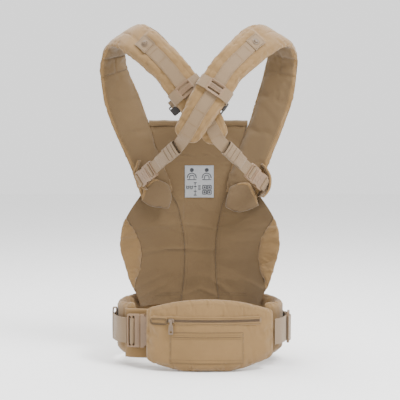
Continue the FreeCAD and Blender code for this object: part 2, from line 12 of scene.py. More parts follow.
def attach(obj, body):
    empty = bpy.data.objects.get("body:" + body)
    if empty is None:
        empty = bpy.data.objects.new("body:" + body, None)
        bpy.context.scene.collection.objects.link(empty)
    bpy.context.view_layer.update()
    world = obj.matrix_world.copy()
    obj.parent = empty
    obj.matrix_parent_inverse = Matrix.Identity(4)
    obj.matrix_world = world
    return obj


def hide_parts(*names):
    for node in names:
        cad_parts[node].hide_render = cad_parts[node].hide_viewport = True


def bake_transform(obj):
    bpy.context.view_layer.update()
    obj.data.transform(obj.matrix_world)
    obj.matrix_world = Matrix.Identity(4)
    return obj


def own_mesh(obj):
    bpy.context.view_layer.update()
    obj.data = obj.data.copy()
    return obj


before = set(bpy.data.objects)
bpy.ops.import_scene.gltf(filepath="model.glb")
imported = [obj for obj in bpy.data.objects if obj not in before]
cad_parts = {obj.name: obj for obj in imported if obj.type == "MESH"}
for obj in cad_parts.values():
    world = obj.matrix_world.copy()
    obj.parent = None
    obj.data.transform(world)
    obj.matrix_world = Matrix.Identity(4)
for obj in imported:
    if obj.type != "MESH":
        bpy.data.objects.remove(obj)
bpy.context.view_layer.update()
MM = 0.001


# ---- small mathematics -------------------------------------------------------------------------------------
def vec(*values):
    return np.array(values, float)


FRONT, UP = vec(0, -1, 0), vec(0, 0, 1)


def unit(v):
    return v / np.linalg.norm(v, axis=-1, keepdims=True)


def catmull(points, t):
    """Catmull-Rom through points at float indices t, along the first axis."""
    p = np.asarray(points, float)
    t = np.clip(t, 0, len(p) - 1 - 1e-9)
    i = t.astype(int)
    f = (t - i).reshape((-1,) + (1,) * (p.ndim - 1))
    first, last = 2 * p[0] - p[1], 2 * p[-1] - p[-2]
    q = np.concatenate([first[None], p, last[None], last[None]])
    a, b, c, d = q[i], q[i + 1], q[i + 2], q[i + 3]
    return 0.5 * (2 * b + (c - a) * f + (2 * a - 5 * b + 4 * c - d) * f ** 2 + (3 * b - a - 3 * c + d)
                  * f ** 3)


def refine(grid, rows, columns, closed=False):
    """More rows and columns on a grid of points; a closed grid joins its last column to its first."""
    grid = catmull(grid, np.linspace(0, len(grid) - 1, (len(grid) - 1) * rows + 1))
    cols = np.swapaxes(grid, 0, 1)
    if closed:
        pad = 3
        cols = np.concatenate([cols[-pad:], cols, cols[:pad]])
        n = grid.shape[1]
        cols = catmull(cols, np.linspace(pad, pad + n, n * columns + 1)[:-1])
    else:
        cols = catmull(cols, np.linspace(0, len(cols) - 1, (len(cols) - 1) * columns + 1))
    return np.swapaxes(cols, 0, 1)


def grid_normals(grid, closed=False):
    du = np.gradient(grid, axis=0)
    if closed:
        dv = (np.roll(grid, -1, 1) - np.roll(grid, 1, 1)) / 2
    else:
        dv = np.gradient(grid, axis=1)
    n = np.cross(du, dv)
    return n / np.maximum(np.linalg.norm(n, axis=-1, keepdims=True), 1e-9)


def arc_length(points):
    steps = np.linalg.norm(np.diff(points, axis=0), axis=-1)
    return np.concatenate([[0.0], np.cumsum(steps)])


def resample(points, count):
    """Points at even spacing along a polyline smoothed by Catmull-Rom."""
    fine = catmull(points, np.linspace(0, len(points) - 1, 40 * len(points)))
    s = arc_length(fine)
    want = np.linspace(0, s[-1], count)
    return np.stack([np.interp(want, s, fine[:, k]) for k in range(fine.shape[1])], -1)


def value_noise(x, y, seed):
    """Smooth noise in -1..1 on a fixed random lattice, one cell per unit."""
    table = np.random.default_rng(seed).uniform(-1, 1, (64, 64))
    xi, yi = np.floor(x).astype(int), np.floor(y).astype(int)
    fx, fy = x - xi, y - yi
    fx, fy = fx * fx * (3 - 2 * fx), fy * fy * (3 - 2 * fy)
    a, b = table[xi % 64, yi % 64], table[(xi + 1) % 64, yi % 64]
    c, d = table[xi % 64, (yi + 1) % 64], table[(xi + 1) % 64, (yi + 1) % 64]
    return (a * (1 - fx) + b * fx) * (1 - fy) + (c * (1 - fx) + d * fx) * fy


def ridged(x, y, seed):
    """Creases: sharp on top and wide below, in 0..1."""
    return (1 - np.abs(value_noise(x, y, seed))) ** 3


def bell(distance, width):
    return np.exp(-(distance / width) ** 2)


def smooth_table(xs, ys, blur):
    """A function through a few given values, rounded off at its corners."""
    fine = np.linspace(xs[0], xs[-1], 400)
    vals = np.interp(fine, xs, ys)
    kernel = np.exp(-0.5 * (np.arange(-60, 61) * (fine[1] - fine[0]) / blur) ** 2)
    padded = np.pad(vals, 60, mode="reflect", reflect_type="odd")
    vals = np.convolve(padded, kernel / kernel.sum(), mode="valid")
    return lambda x: np.interp(x, fine, vals)


# ---- mesh making -------------------------------------------------------------------------------------------
class Solid:
    """Vertices and faces gathered from several shapes, in millimetres."""

    def __init__(self):
        self.verts, self.faces, self.uvs = [], [], []
        self.count = 0

    def add(self, verts, faces, uvs=None):
        verts = np.asarray(verts, float).reshape(-1, 3)
        self.verts.append(verts)
        self.faces += [tuple(i + self.count for i in f) for f in faces]
        self.uvs.append(np.zeros((len(verts), 2)) if uvs is None else np.asarray(uvs, float).reshape(-1, 2))
        self.count += len(verts)
        return self

    def piece(self, name, material, slot, smooth=True):
        mesh = bpy.data.meshes.new(name)
        coords = np.concatenate(self.verts) * MM
        mesh.from_pydata(coords.tolist(), [], self.faces)
        mesh.validate()
        outward(mesh)
        layer = mesh.uv_layers.new(name="weave")
        uv = np.concatenate(self.uvs) * MM
        loops = np.empty(len(mesh.loops), int)
        mesh.loops.foreach_get("vertex_index", loops)
        layer.data.foreach_set("uv", uv[loops].ravel())
        mesh.polygons.foreach_set("use_smooth", [smooth] * len(mesh.polygons))
        if smooth:
            mesh.set_sharp_from_angle(angle=math.radians(50))
        mesh.materials.append(MATERIALS[material])
        obj = bpy.data.objects.new(name, mesh)
        bpy.context.scene.collection.objects.link(obj)
        return obj


def grid_uv(grid):
    rows = np.linalg.norm(np.diff(grid, axis=0), axis=-1).mean(1)
    cols = np.linalg.norm(np.diff(grid, axis=1), axis=-1).mean(0)
    v = np.concatenate([[0], np.cumsum(rows)])
    u = np.concatenate([[0], np.cumsum(cols)])
    return np.stack(np.meshgrid(u, v), -1)


def grid_faces(rows, cols, closed=False, flip=False):
    faces = []
    span = cols if closed else cols - 1
    for i in range(rows - 1):
        for j in range(span):
            k = (j + 1) % cols
            quad = (i * cols + j, i * cols + k, (i + 1) * cols + k, (i + 1) * cols + j)
            faces.append(quad[::-1] if flip else quad)
    return faces


def add_closed(solid, grid, flip=False):
    """A tube of rings with both ends filled."""
    rows, cols = grid.shape[:2]
    faces = grid_faces(rows, cols, True, flip)
    first, last = tuple(range(cols)), tuple((rows - 1) * cols + j for j in range(cols))
    faces += [first if flip else first[::-1], last[::-1] if flip else last]
    return solid.add(grid, faces, grid_uv(grid))


def add_sheet(solid, grid, thick, normals=None, flip=False):
    """A closed thin sheet: the grid is its upper face and thick lies below."""
    n = grid_normals(grid) if normals is None else normals
    lower = grid - n * thick
    rows, cols = grid.shape[:2]
    ring = [i * cols for i in range(rows)] + [(rows - 1) * cols + j for j in range(1, cols)]
    ring += [i * cols + cols - 1 for i in range(rows - 2, -1, -1)] + [j for j in range(cols - 2, 0, -1)]
    total = rows * cols
    faces = grid_faces(rows, cols, flip=not flip)
    faces += [tuple(i + total for i in f) for f in grid_faces(rows, cols, flip=flip)]
    for a, b in zip(ring, ring[1:] + ring[:1]):
        quad = (a, a + total, b + total, b)
        faces.append(quad if flip else quad[::-1])
    uv = grid_uv(grid)
    return solid.add(np.concatenate([grid.reshape(-1, 3), lower.reshape(-1, 3)]), faces,
                     np.concatenate([uv.reshape(-1, 2)] * 2))


class Place:
    """Local frame, as in the CAD: a along, u across, n out."""

    def __init__(self, origin, along, across):
        self.o = np.asarray(origin, float)
        self.a = unit(np.asarray(along, float))
        across = np.asarray(across, float)
        self.u = unit(across - self.a * across.dot(self.a))
        self.n = unit(np.cross(self.a, self.u))

    def at(self, a, u, n):
        a, u, n = (np.asarray(v, float)[..., None] for v in (a, u, n))
        return self.o + self.a * a + self.u * u + self.n * n

    def map(self, local):
        local = np.asarray(local, float)
        return self.at(local[..., 0], local[..., 1], local[..., 2])

    def moved(self, a=0, u=0, n=0):
        return Place(self.at(a, u, n), self.a, self.u)


def rounded(x0, x1, y0, y1, r, steps=5):
    """Outline of a rectangle with round corners, as local points."""
    pts = []
    for cx, cy, start in ((x1 - r, y1 - r, 0), (x0 + r, y1 - r, 90), (x0 + r, y0 + r, 180),
                          (x1 - r, y0 + r, 270)):
        for k in range(steps + 1):
            angle = math.radians(start + 90 * k / steps)
            pts.append((cx + r * math.cos(angle), cy + r * math.sin(angle)))
    return pts


def plate(place, outline, low, high, bevel=0.5, holes=(), resolution=2):
    """A flat part with rounded edges and holes, from 2D outlines (a, u) between two heights along n."""
    curve = bpy.data.curves.new("outline", "CURVE")
    curve.dimensions = "2D"
    curve.fill_mode = "BOTH"
    for points in [outline, *holes]:
        spline = curve.splines.new("POLY")
        spline.points.add(len(points) - 1)
        for point, (x, y) in zip(spline.points, points):
            point.co = (x * MM, y * MM, 0, 1)
        spline.use_cyclic_u = True
    curve.bevel_depth = bevel * MM
    curve.bevel_resolution = resolution
    curve.offset = -bevel * MM
    curve.extrude = ((high - low) / 2 - bevel) * MM
    holder = bpy.data.objects.new("outline", curve)
    bpy.context.scene.collection.objects.link(holder)
    mesh = bpy.data.meshes.new_from_object(holder)
    verts = np.empty(len(mesh.vertices) * 3)
    mesh.vertices.foreach_get("co", verts)
    verts = verts.reshape(-1, 3) / MM
    verts[:, 2] += (high + low) / 2
    faces = [tuple(p.vertices) for p in mesh.polygons]
    bpy.data.objects.remove(holder)
    bpy.data.curves.remove(curve)
    bpy.data.meshes.remove(mesh)
    return place.map(verts), faces


def add_plate(solid, place, outline, low, high, bevel=0.5, holes=()):
    verts, faces = plate(place, outline, low, high, bevel, holes)
    return solid.add(verts, faces)


def add_tube(solid, path, radius, sides=8, squash=None):
    """A round tube along a path; squash, one direction per point, sets how its rings are turned, and the tube
    stays round.
    """
    path = np.asarray(path, float)
    tangent = unit(np.gradient(path, axis=0))
    ref = np.tile(vec(0, 0, 1), (len(path), 1)) if squash is None else squash
    side = unit(np.cross(tangent, ref + tangent * 1e-3))
    up = np.cross(side, tangent)
    angle = np.linspace(0, 2 * math.pi, sides, endpoint=False)
    radius = np.broadcast_to(radius, (len(path),))
    ring = [side * math.cos(t) * radius[:, None] + up * math.sin(t) * radius[:, None] for t in angle]
    return add_closed(solid, path[:, None] + np.stack(ring, 1))


def add_lathe(solid, place, profile, sides=28):
    """A turned part: profile of (radius, height along n)."""
    angle = np.linspace(0, 2 * math.pi, sides, endpoint=False)
    rows = [[(r * math.cos(t), r * math.sin(t), h) for t in angle] for r, h in profile]
    return add_closed(solid, place.map(rows))


def ribbon_grid(path, across, width, thick, edge=0.5):
    """Rings of a flat webbing strip with rounded edges; across is one direction, or one for each point."""
    path = np.asarray(path, float)
    across = unit(np.broadcast_to(np.asarray(across, float), path.shape))
    tangent = unit(np.gradient(path, axis=0))
    normal = unit(np.cross(tangent, across))
    w, t = width / 2, thick / 2
    shape = [(-w, 0), (-w + edge * 0.4, t), (-w + 2, t * 1.12), (-w * 0.5, t), (0, t), (w * 0.5, t),
             (w - 2, t * 1.12),
             (w - edge * 0.4, t), (w, 0), (w - edge * 0.4, -t), (w - 2, -t * 1.12), (w * 0.5, -t), (0, -t),
             (-w * 0.5, -t), (-w + 2, -t * 1.12), (-w + edge * 0.4, -t)]
    return path[:, None] + np.stack([across * u + normal * n for u, n in shape], 1)


def add_ribbon(solid, path, across, width, thick):
    grid = ribbon_grid(path, across, width, thick)
    rows, cols = grid.shape[:2]
    s = arc_length(np.asarray(path, float))
    u = np.array([0, .5, 2, width / 4, width / 2, width * 3 / 4, width - 2, width - .5,
                  width, width - .5, width - 2, width * 3 / 4, width / 2, width / 4, 2, .5])
    uv = np.stack(np.meshgrid(u, s), -1)
    faces = grid_faces(rows, cols, True, False)
    faces += [tuple(range(cols))[::-1], tuple((rows - 1) * cols + j for j in range(cols))]
    return solid.add(grid, faces, uv)


def add_stitches(solid, path, normals, pitch=3.4, length=2.4, radius=0.38, lift=0.15):
    """A row of stitches, as small pillows; normals is one direction, or one for each point."""
    path = np.asarray(path, float)
    normals = np.broadcast_to(np.asarray(normals, float), path.shape)
    s = arc_length(path)
    starts = np.arange(pitch * 0.3, s[-1] - length, pitch)
    if not len(starts):
        return solid
    def at(values, where):
        return np.stack([np.interp(where, s, values[:, k]) for k in range(3)], -1)
    a, b = at(path, starts), at(path, starts + length)
    n = unit(at(normals, starts + length / 2))
    along = unit(b - a)
    side = np.cross(along, n)
    ring = [(math.cos(t), math.sin(t)) for t in np.linspace(0, 2 * math.pi, 6, endpoint=False)]
    rows = [(0.0, 0.45, -0.25), (0.25, 1.0, 0.0), (0.75, 1.0, 0.0), (1.0, 0.45, -0.25)]
    cells = []
    for t, scale, sink in rows:
        centre = a + (b - a) * t + n * (lift + sink)
        cells.append(np.stack([centre + (side * c * 1.25 + n * q) * radius * scale for c, q in ring], 1))
    verts = np.stack(cells, 1)
    faces = grid_faces(4, 6, True)
    faces += [tuple(range(6))[::-1], tuple(range(18, 24))]
    total = []
    for k in range(len(starts)):
        total += [tuple(i + 24 * k for i in f) for f in faces]
    return solid.add(verts, total)


# ---- materials ---------------------------------------------------------------------------------------------
MATERIALS = {}


def srgb(r, g, b):
    return tuple(((c / 255 + 0.055) / 1.055) ** 2.4 if c > 10 else c / 255 / 12.92
                 for c in (r, g, b)) + (1.0,)


class Shader:
    """A Principled material with a few node helpers."""

    def __init__(self, name, roughness=0.8, sheen=0.0, specular=0.3, coat=0.0):
        self.mat = bpy.data.materials.new(name)
        self.mat.use_nodes = True
        self.tree = self.mat.node_tree
        self.bsdf = self.tree.nodes["Principled BSDF"]
        self.bsdf.inputs["Roughness"].default_value = roughness
        self.bsdf.inputs["Sheen Weight"].default_value = sheen
        self.bsdf.inputs["Sheen Roughness"].default_value = 0.5
        self.bsdf.inputs["Specular IOR Level"].default_value = specular
        self.bsdf.inputs["Coat Weight"].default_value = coat
        MATERIALS[name] = self.mat

    def node(self, kind, links=None, **values):
        made = self.tree.nodes.new(kind)
        for key, value in values.items():
            setattr(made, key, value)
        for socket, source in (links or {}).items():
            if hasattr(source, "links") or isinstance(source, bpy.types.NodeSocket):
                self.tree.links.new(source, made.inputs[socket])
            else:
                made.inputs[socket].default_value = source
        return made

    def uv(self):
        return self.node("ShaderNodeUVMap", uv_map="weave").outputs["UV"]

    def place(self):
        return self.node("ShaderNodeTexCoord").outputs["Object"]

    def noise(self, where, scale, detail=3.0, rough=0.55):
        made = self.node("ShaderNodeTexNoise",
                         {"Vector": where, "Scale": scale, "Detail": detail, "Roughness": rough})
        return made.outputs["Fac"]

    def wave(self, where, scale, direction, distortion=0.0):
        made = self.node("ShaderNodeTexWave", {"Vector": where, "Scale": scale, "Distortion": distortion,
                                               "Detail": 0.0}, bands_direction=direction)
        return made.outputs["Fac"]

    def math(self, operation, a, b):
        return self.node("ShaderNodeMath", {0: a, 1: b}, operation=operation).outputs[0]

    def ramp(self, value, low, high, colour_low, colour_high):
        made = self.node("ShaderNodeMapRange", {"Value": value, "From Min": low, "From Max": high})
        mix = self.node("ShaderNodeMix", data_type="RGBA")
        self.tree.links.new(made.outputs[0], mix.inputs[0])
        for socket, colour in ((6, colour_low), (7, colour_high)):
            if isinstance(colour, bpy.types.NodeSocket):
                self.tree.links.new(colour, mix.inputs[socket])
            else:
                mix.inputs[socket].default_value = colour
        return mix.outputs[2]

    def bump(self, height, strength, distance, below=None):
        links = {"Height": height, "Strength": strength, "Distance": distance}
        made = self.node("ShaderNodeBump", links)
        if below is not None:
            self.tree.links.new(below, made.inputs["Normal"])
        return made.outputs["Normal"]

    def finish(self, colour, normal, rough=None):
        self.tree.links.new(colour, self.bsdf.inputs["Base Color"])
        self.tree.links.new(normal, self.bsdf.inputs["Normal"])
        if rough is not None:
            self.tree.links.new(rough, self.bsdf.inputs["Roughness"])


def shade(colour, factor):
    return tuple(min(c * factor, 1.0) for c in colour[:3]) + (1.0,)


def cloth_material(name, colour, thread, strength=0.35, sheen=0.25, mottle=0.10, roughness=0.85):
    """Twill: fine diagonal threads crossed by the yarn, with soft mottling and worn lighter patches."""
    s = Shader(name, roughness=roughness, sheen=sheen, specular=0.2)
    uv, where = s.uv(), s.place()
    tilted = s.node("ShaderNodeMapping", {"Vector": uv, "Rotation": (0, 0, math.radians(62))}).outputs[0]
    diagonal = s.wave(tilted, 0.314 / thread, "X")
    yarn = s.wave(uv, 0.18 / thread, "Y")
    weave = s.math("ADD", s.math("MULTIPLY", diagonal, 0.7), s.math("MULTIPLY", yarn, 0.3))
    slub = s.noise(where, 900.0, 2.0)
    weave = s.math("ADD", weave, s.math("MULTIPLY", slub, 0.6))
    broad = s.noise(where, 14.0, 4.0)
    fine = s.noise(where, 130.0, 3.0)
    tone = s.ramp(broad, 0.3, 0.7, shade(colour, 1 - mottle), shade(colour, 1 + mottle))
    tone = s.ramp(s.math("ADD", s.math("MULTIPLY", fine, 0.5), s.math("MULTIPLY", weave, 0.5)), 0.2, 1.1,
                  shade(colour, 1 - 1.6 * mottle), tone)
    below = s.bump(broad, 0.25, 0.004)
    s.finish(tone, s.bump(weave, strength, 0.00035, below))
    return s


def webbing_material(name, colour, rib=0.0011, strength=0.5):
    """Woven webbing: ribs across its width, broken by the warp, with flat tight selvedges."""
    s = Shader(name, roughness=0.6, sheen=0.15, specular=0.35)
    uv, where = s.uv(), s.place()
    ribs = s.wave(uv, 0.314 / rib, "Y")
    warp = s.wave(uv, 0.314 / 0.0009, "X")
    weave = s.math("ADD", s.math("MULTIPLY", ribs, 0.65), s.math("MULTIPLY", warp, 0.35))
    fuzz = s.noise(where, 1200.0, 2.0)
    broad = s.noise(where, 30.0, 3.0)
    tone = s.ramp(weave, 0.1, 0.9, shade(colour, 0.80), shade(colour, 1.08))
    tone = s.ramp(broad, 0.25, 0.75, shade(colour, 0.90), tone)
    s.finish(tone, s.bump(fuzz, 0.15, 0.0003, s.bump(weave, strength, 0.0005)))
    return s


def plastic_material(name, colour, roughness=0.36):
    """Moulded acetal: fine spark texture, faint flow marks and a painted highlight along its sharp edges."""
    s = Shader(name, roughness=roughness, specular=0.45)
    where = s.place()
    grain = s.noise(where, 1500.0, 2.0)
    flow = s.noise(where, 60.0, 3.0)
    tone = s.ramp(flow, 0.3, 0.7, shade(colour, 0.94), shade(colour, 1.05))
    # painted highlight: convex edges, found by pointiness, are made lighter to stand in for the light that
    # they catch
    edge = s.node("ShaderNodeNewGeometry").outputs["Pointiness"]
    tone = s.ramp(edge, 0.53, 0.60, tone, shade(colour, 1.25))
    rough = s.node("ShaderNodeMapRange",
                   {"Value": flow, "To Min": roughness - 0.06, "To Max": roughness + 0.12})
    s.finish(tone, s.bump(grain, 0.12, 0.0002), rough.outputs[0])
    return s


OUTER = srgb(126, 99, 63)
LINING = srgb(100, 80, 54)
WEB = srgb(122, 100, 73)
PLASTIC = srgb(114, 90, 66)


def make_materials():
    cloth_material("outer_cloth", OUTER, 0.0009)
    cloth_material("lining_cloth", LINING, 0.0007, strength=0.25, mottle=0.08)
    cloth_material("mesh_lining", shade(LINING, 0.97), 0.0011, strength=0.5, mottle=0.08)
    cloth_material("tab_cloth", srgb(102, 82, 57), 0.0008, strength=0.3)
    cloth_material("thread", shade(OUTER, 0.86), 0.0004, strength=0.2, mottle=0.03)
    cloth_material("thread_dark", shade(LINING, 0.72), 0.0004, strength=0.2, mottle=0.03)
    cloth_material("foam", srgb(225, 222, 210), 0.002, mottle=0.03)
    webbing_material("webbing", WEB)
    webbing_material("elastic", shade(WEB, 0.97), rib=0.0016, strength=0.6)
    plastic_material("buckle_plastic", PLASTIC)
    plastic_material("slider_plastic", shade(PLASTIC, 1.03), 0.32)
    plastic_material("dark_plastic", srgb(34, 28, 24), 0.4)
    plastic_material("zip_teeth", srgb(82, 66, 50), 0.45)
    plastic_material("zip_metal", srgb(108, 90, 72), 0.3)
    plastic_material("snap_metal", srgb(96, 78, 58), 0.35)
    label = Shader("label", roughness=0.55, specular=0.3)
    uv = label.uv()
    satin = label.wave(uv, 160.0, "Y")
    tone = label.ramp(satin, 0.0, 1.0, srgb(132, 133, 134), srgb(142, 143, 144))
    label.finish(tone, label.bump(satin, 0.2, 0.0002))
    ink = Shader("ink", roughness=0.6)
    speck = ink.noise(ink.place(), 400.0)
    ink.finish(ink.ramp(speck, 0.3, 0.7, srgb(44, 46, 50), srgb(60, 62, 66)), ink.bump(speck, 0.1, 0.0001))


make_materials()


# ---- soft pieces -------------------------------------------------------------------------------------------
def border_distance(grid):
    """Distance of every point to the nearest end of its row and of its column."""
    across = np.linalg.norm(np.diff(grid, axis=1), axis=-1)
    down = np.linalg.norm(np.diff(grid, axis=0), axis=-1)
    a = np.concatenate([np.zeros((len(grid), 1)), np.cumsum(across, 1)], 1)
    d = np.concatenate([np.zeros((1, grid.shape[1])), np.cumsum(down, 0)], 0)
    return np.minimum(d, d[-1:] - d), np.minimum(a, a[:, -1:] - a)


def roll_off(distance, radius):
    """Quarter-round fall to zero at a border."""
    t = 1 - np.clip(distance / radius, 0, 1)
    return np.sqrt(np.maximum(1 - t * t, 0))


def add_pillow(solid, grid, front, back, radius=6.0, rim=0.5):
    """A closed padded piece: its middle surface, and how far it stands out each side. Returns both faces."""
    n = grid_normals(grid)
    rows_d, cols_d = border_distance(grid)
    fall = roll_off(rows_d, radius) * roll_off(cols_d, radius)
    top = grid + n * (rim / 2 + front * fall)[..., None]
    low = grid - n * (rim / 2 + back * fall)[..., None]
    rows, cols = grid.shape[:2]
    total = rows * cols
    ring = [i * cols for i in range(rows)] + [(rows - 1) * cols + j for j in range(1, cols)]
    ring += [i * cols + cols - 1 for i in range(rows - 2, -1, -1)] + [j for j in range(cols - 2, 0, -1)]
    faces = grid_faces(rows, cols,
                       flip=True) + [tuple(i + total for i in f) for f in grid_faces(rows, cols)]
    faces += [(b, b + total, a + total, a) for a, b in zip(ring, ring[1:] + ring[:1])]
    uv = grid_uv(grid).reshape(-1, 2)
    solid.add(np.concatenate([top.reshape(-1, 3), low.reshape(-1, 3)]), faces, np.concatenate([uv, uv]))
    return top, low


def coons(left, right, bottom, top, rows, cols):
    """A grid filled in between four border curves; left and right run upwards, bottom and top rightwards."""
    left, right = resample(left, rows), resample(right, rows)
    bottom, top = resample(bottom, cols), resample(top, cols)
    v, u = np.linspace(0, 1, rows)[:, None, None], np.linspace(0, 1, cols)[None, :, None]
    ruled = left[:, None] * (1 - u) + right[:, None] * u + bottom[None] * (1 - v) + top[None] * v
    corners = ((1 - v) * (1 - u) * left[0] + (1 - v) * u * right[0] + v * (1 - u) * left[-1] + v * u
               * right[-1])
    return ruled - corners


# ---- shoulder straps ---------------------------------------------------------------------------------------
PAD_THICK = 16.0
STRAP_WEB, WEB_THICK = 25.0, 1.6
STRAP_FRONT = {
    "left": [
        ((-88, 72, 326), (62, 26, 4)),
        ((-92.5, 71, 342), (64, 26, 4)),
        ((-114, 69, 400), (64, 28, 0)),
        ((-137, 66, 460), (70, 26, -2)),
        ((-159.5, 58, 524), (69, 24, -3)),
        ((-174, 47, 576), (54, 34, 0)),
        ((-174.5, 32, 609), (45, 40, 11)),
        ((-160, 9, 638), (46, 42, 28)),
        ((-140, -22, 645), (51, 28, 44)),
    ],
    "right": [
        ((85, 72, 326), (-62, 26, 4)),
        ((89, 71, 342), (-65, 26, 4)),
        ((106.4, 69, 400), (-70, 28, 0)),
        ((131, 66, 460), (-66, 26, -2)),
        ((151.5, 58, 524), (-69, 24, -3)),
        ((163.5, 47, 576), (-63, 26, -2)),
        ((167, 34, 610), (-56, 36, 8)),
        ((160, 9, 638), (-46, 42, 28)),
        ((140, -22, 645), (-51, 28, 44)),
    ],
}
STRAP_BACK = {
    "left": [
        ((-113, -50, 630), (51, 15, 49)),
        ((-80, -70, 600), (50, 6, 46)),
        ((-56, -79, 575), (50, 0, 43)),
        ((-43, -81.7, 558.3), (50, 0, 43)),
        ((-30, -84.3, 541.7), (50, 0, 43)),
        ((-17, -87, 525), (50, 0, 43)),
        ((3, -86, 495), (49, 0, 36)),
        ((18, -81, 473), (47, 0, 31)),
        ((36, -74, 440), (38, 0, 25)),
    ],
    "right": [
        ((113, -53, 632), (-51, 15, 49)),
        ((80, -79, 603), (-52, 5, 46)),
        ((53, -95, 576), (-53, 0, 39)),
        ((41.7, -100.3, 559), (-53, 0, 39)),
        ((30.3, -105.7, 542), (-53, 0, 39)),
        ((19, -111, 525), (-53, 0, 39)),
        ((2, -114, 499), (-53, 0, 31)),
        ((-17, -110, 467), (-50, 0, 22)),
        ((-31, -103, 444), (-42, 0, 24)),
    ],
}
SHOULDER_ROW, RISE_ROW = 6.0, 5.0          # stations of the two quilting seams inside the shoulder
PATCH_STATION, SLIDER_STATION = 9.28, 13.31


def pad_ring(count, half, thick, flat=5.0, round_=2.3):
    """Even points round a pillow section, as (across, out)."""
    t = np.linspace(0, 2 * math.pi, 2000, endpoint=False)
    c, s = np.cos(t), np.sin(t)
    x, y = np.sign(c) * np.abs(c) ** (2 / flat) * half, np.sign(s) * np.abs(s) ** (2 / round_) * thick
    pts = np.stack([x, y], -1)
    around = arc_length(np.concatenate([pts, pts[:1]]))
    want = np.linspace(0, around[-1], count, endpoint=False)
    closed = np.concatenate([pts, pts[:1]])
    return np.stack([np.interp(want, around, closed[:, k]) for k in range(2)], -1)


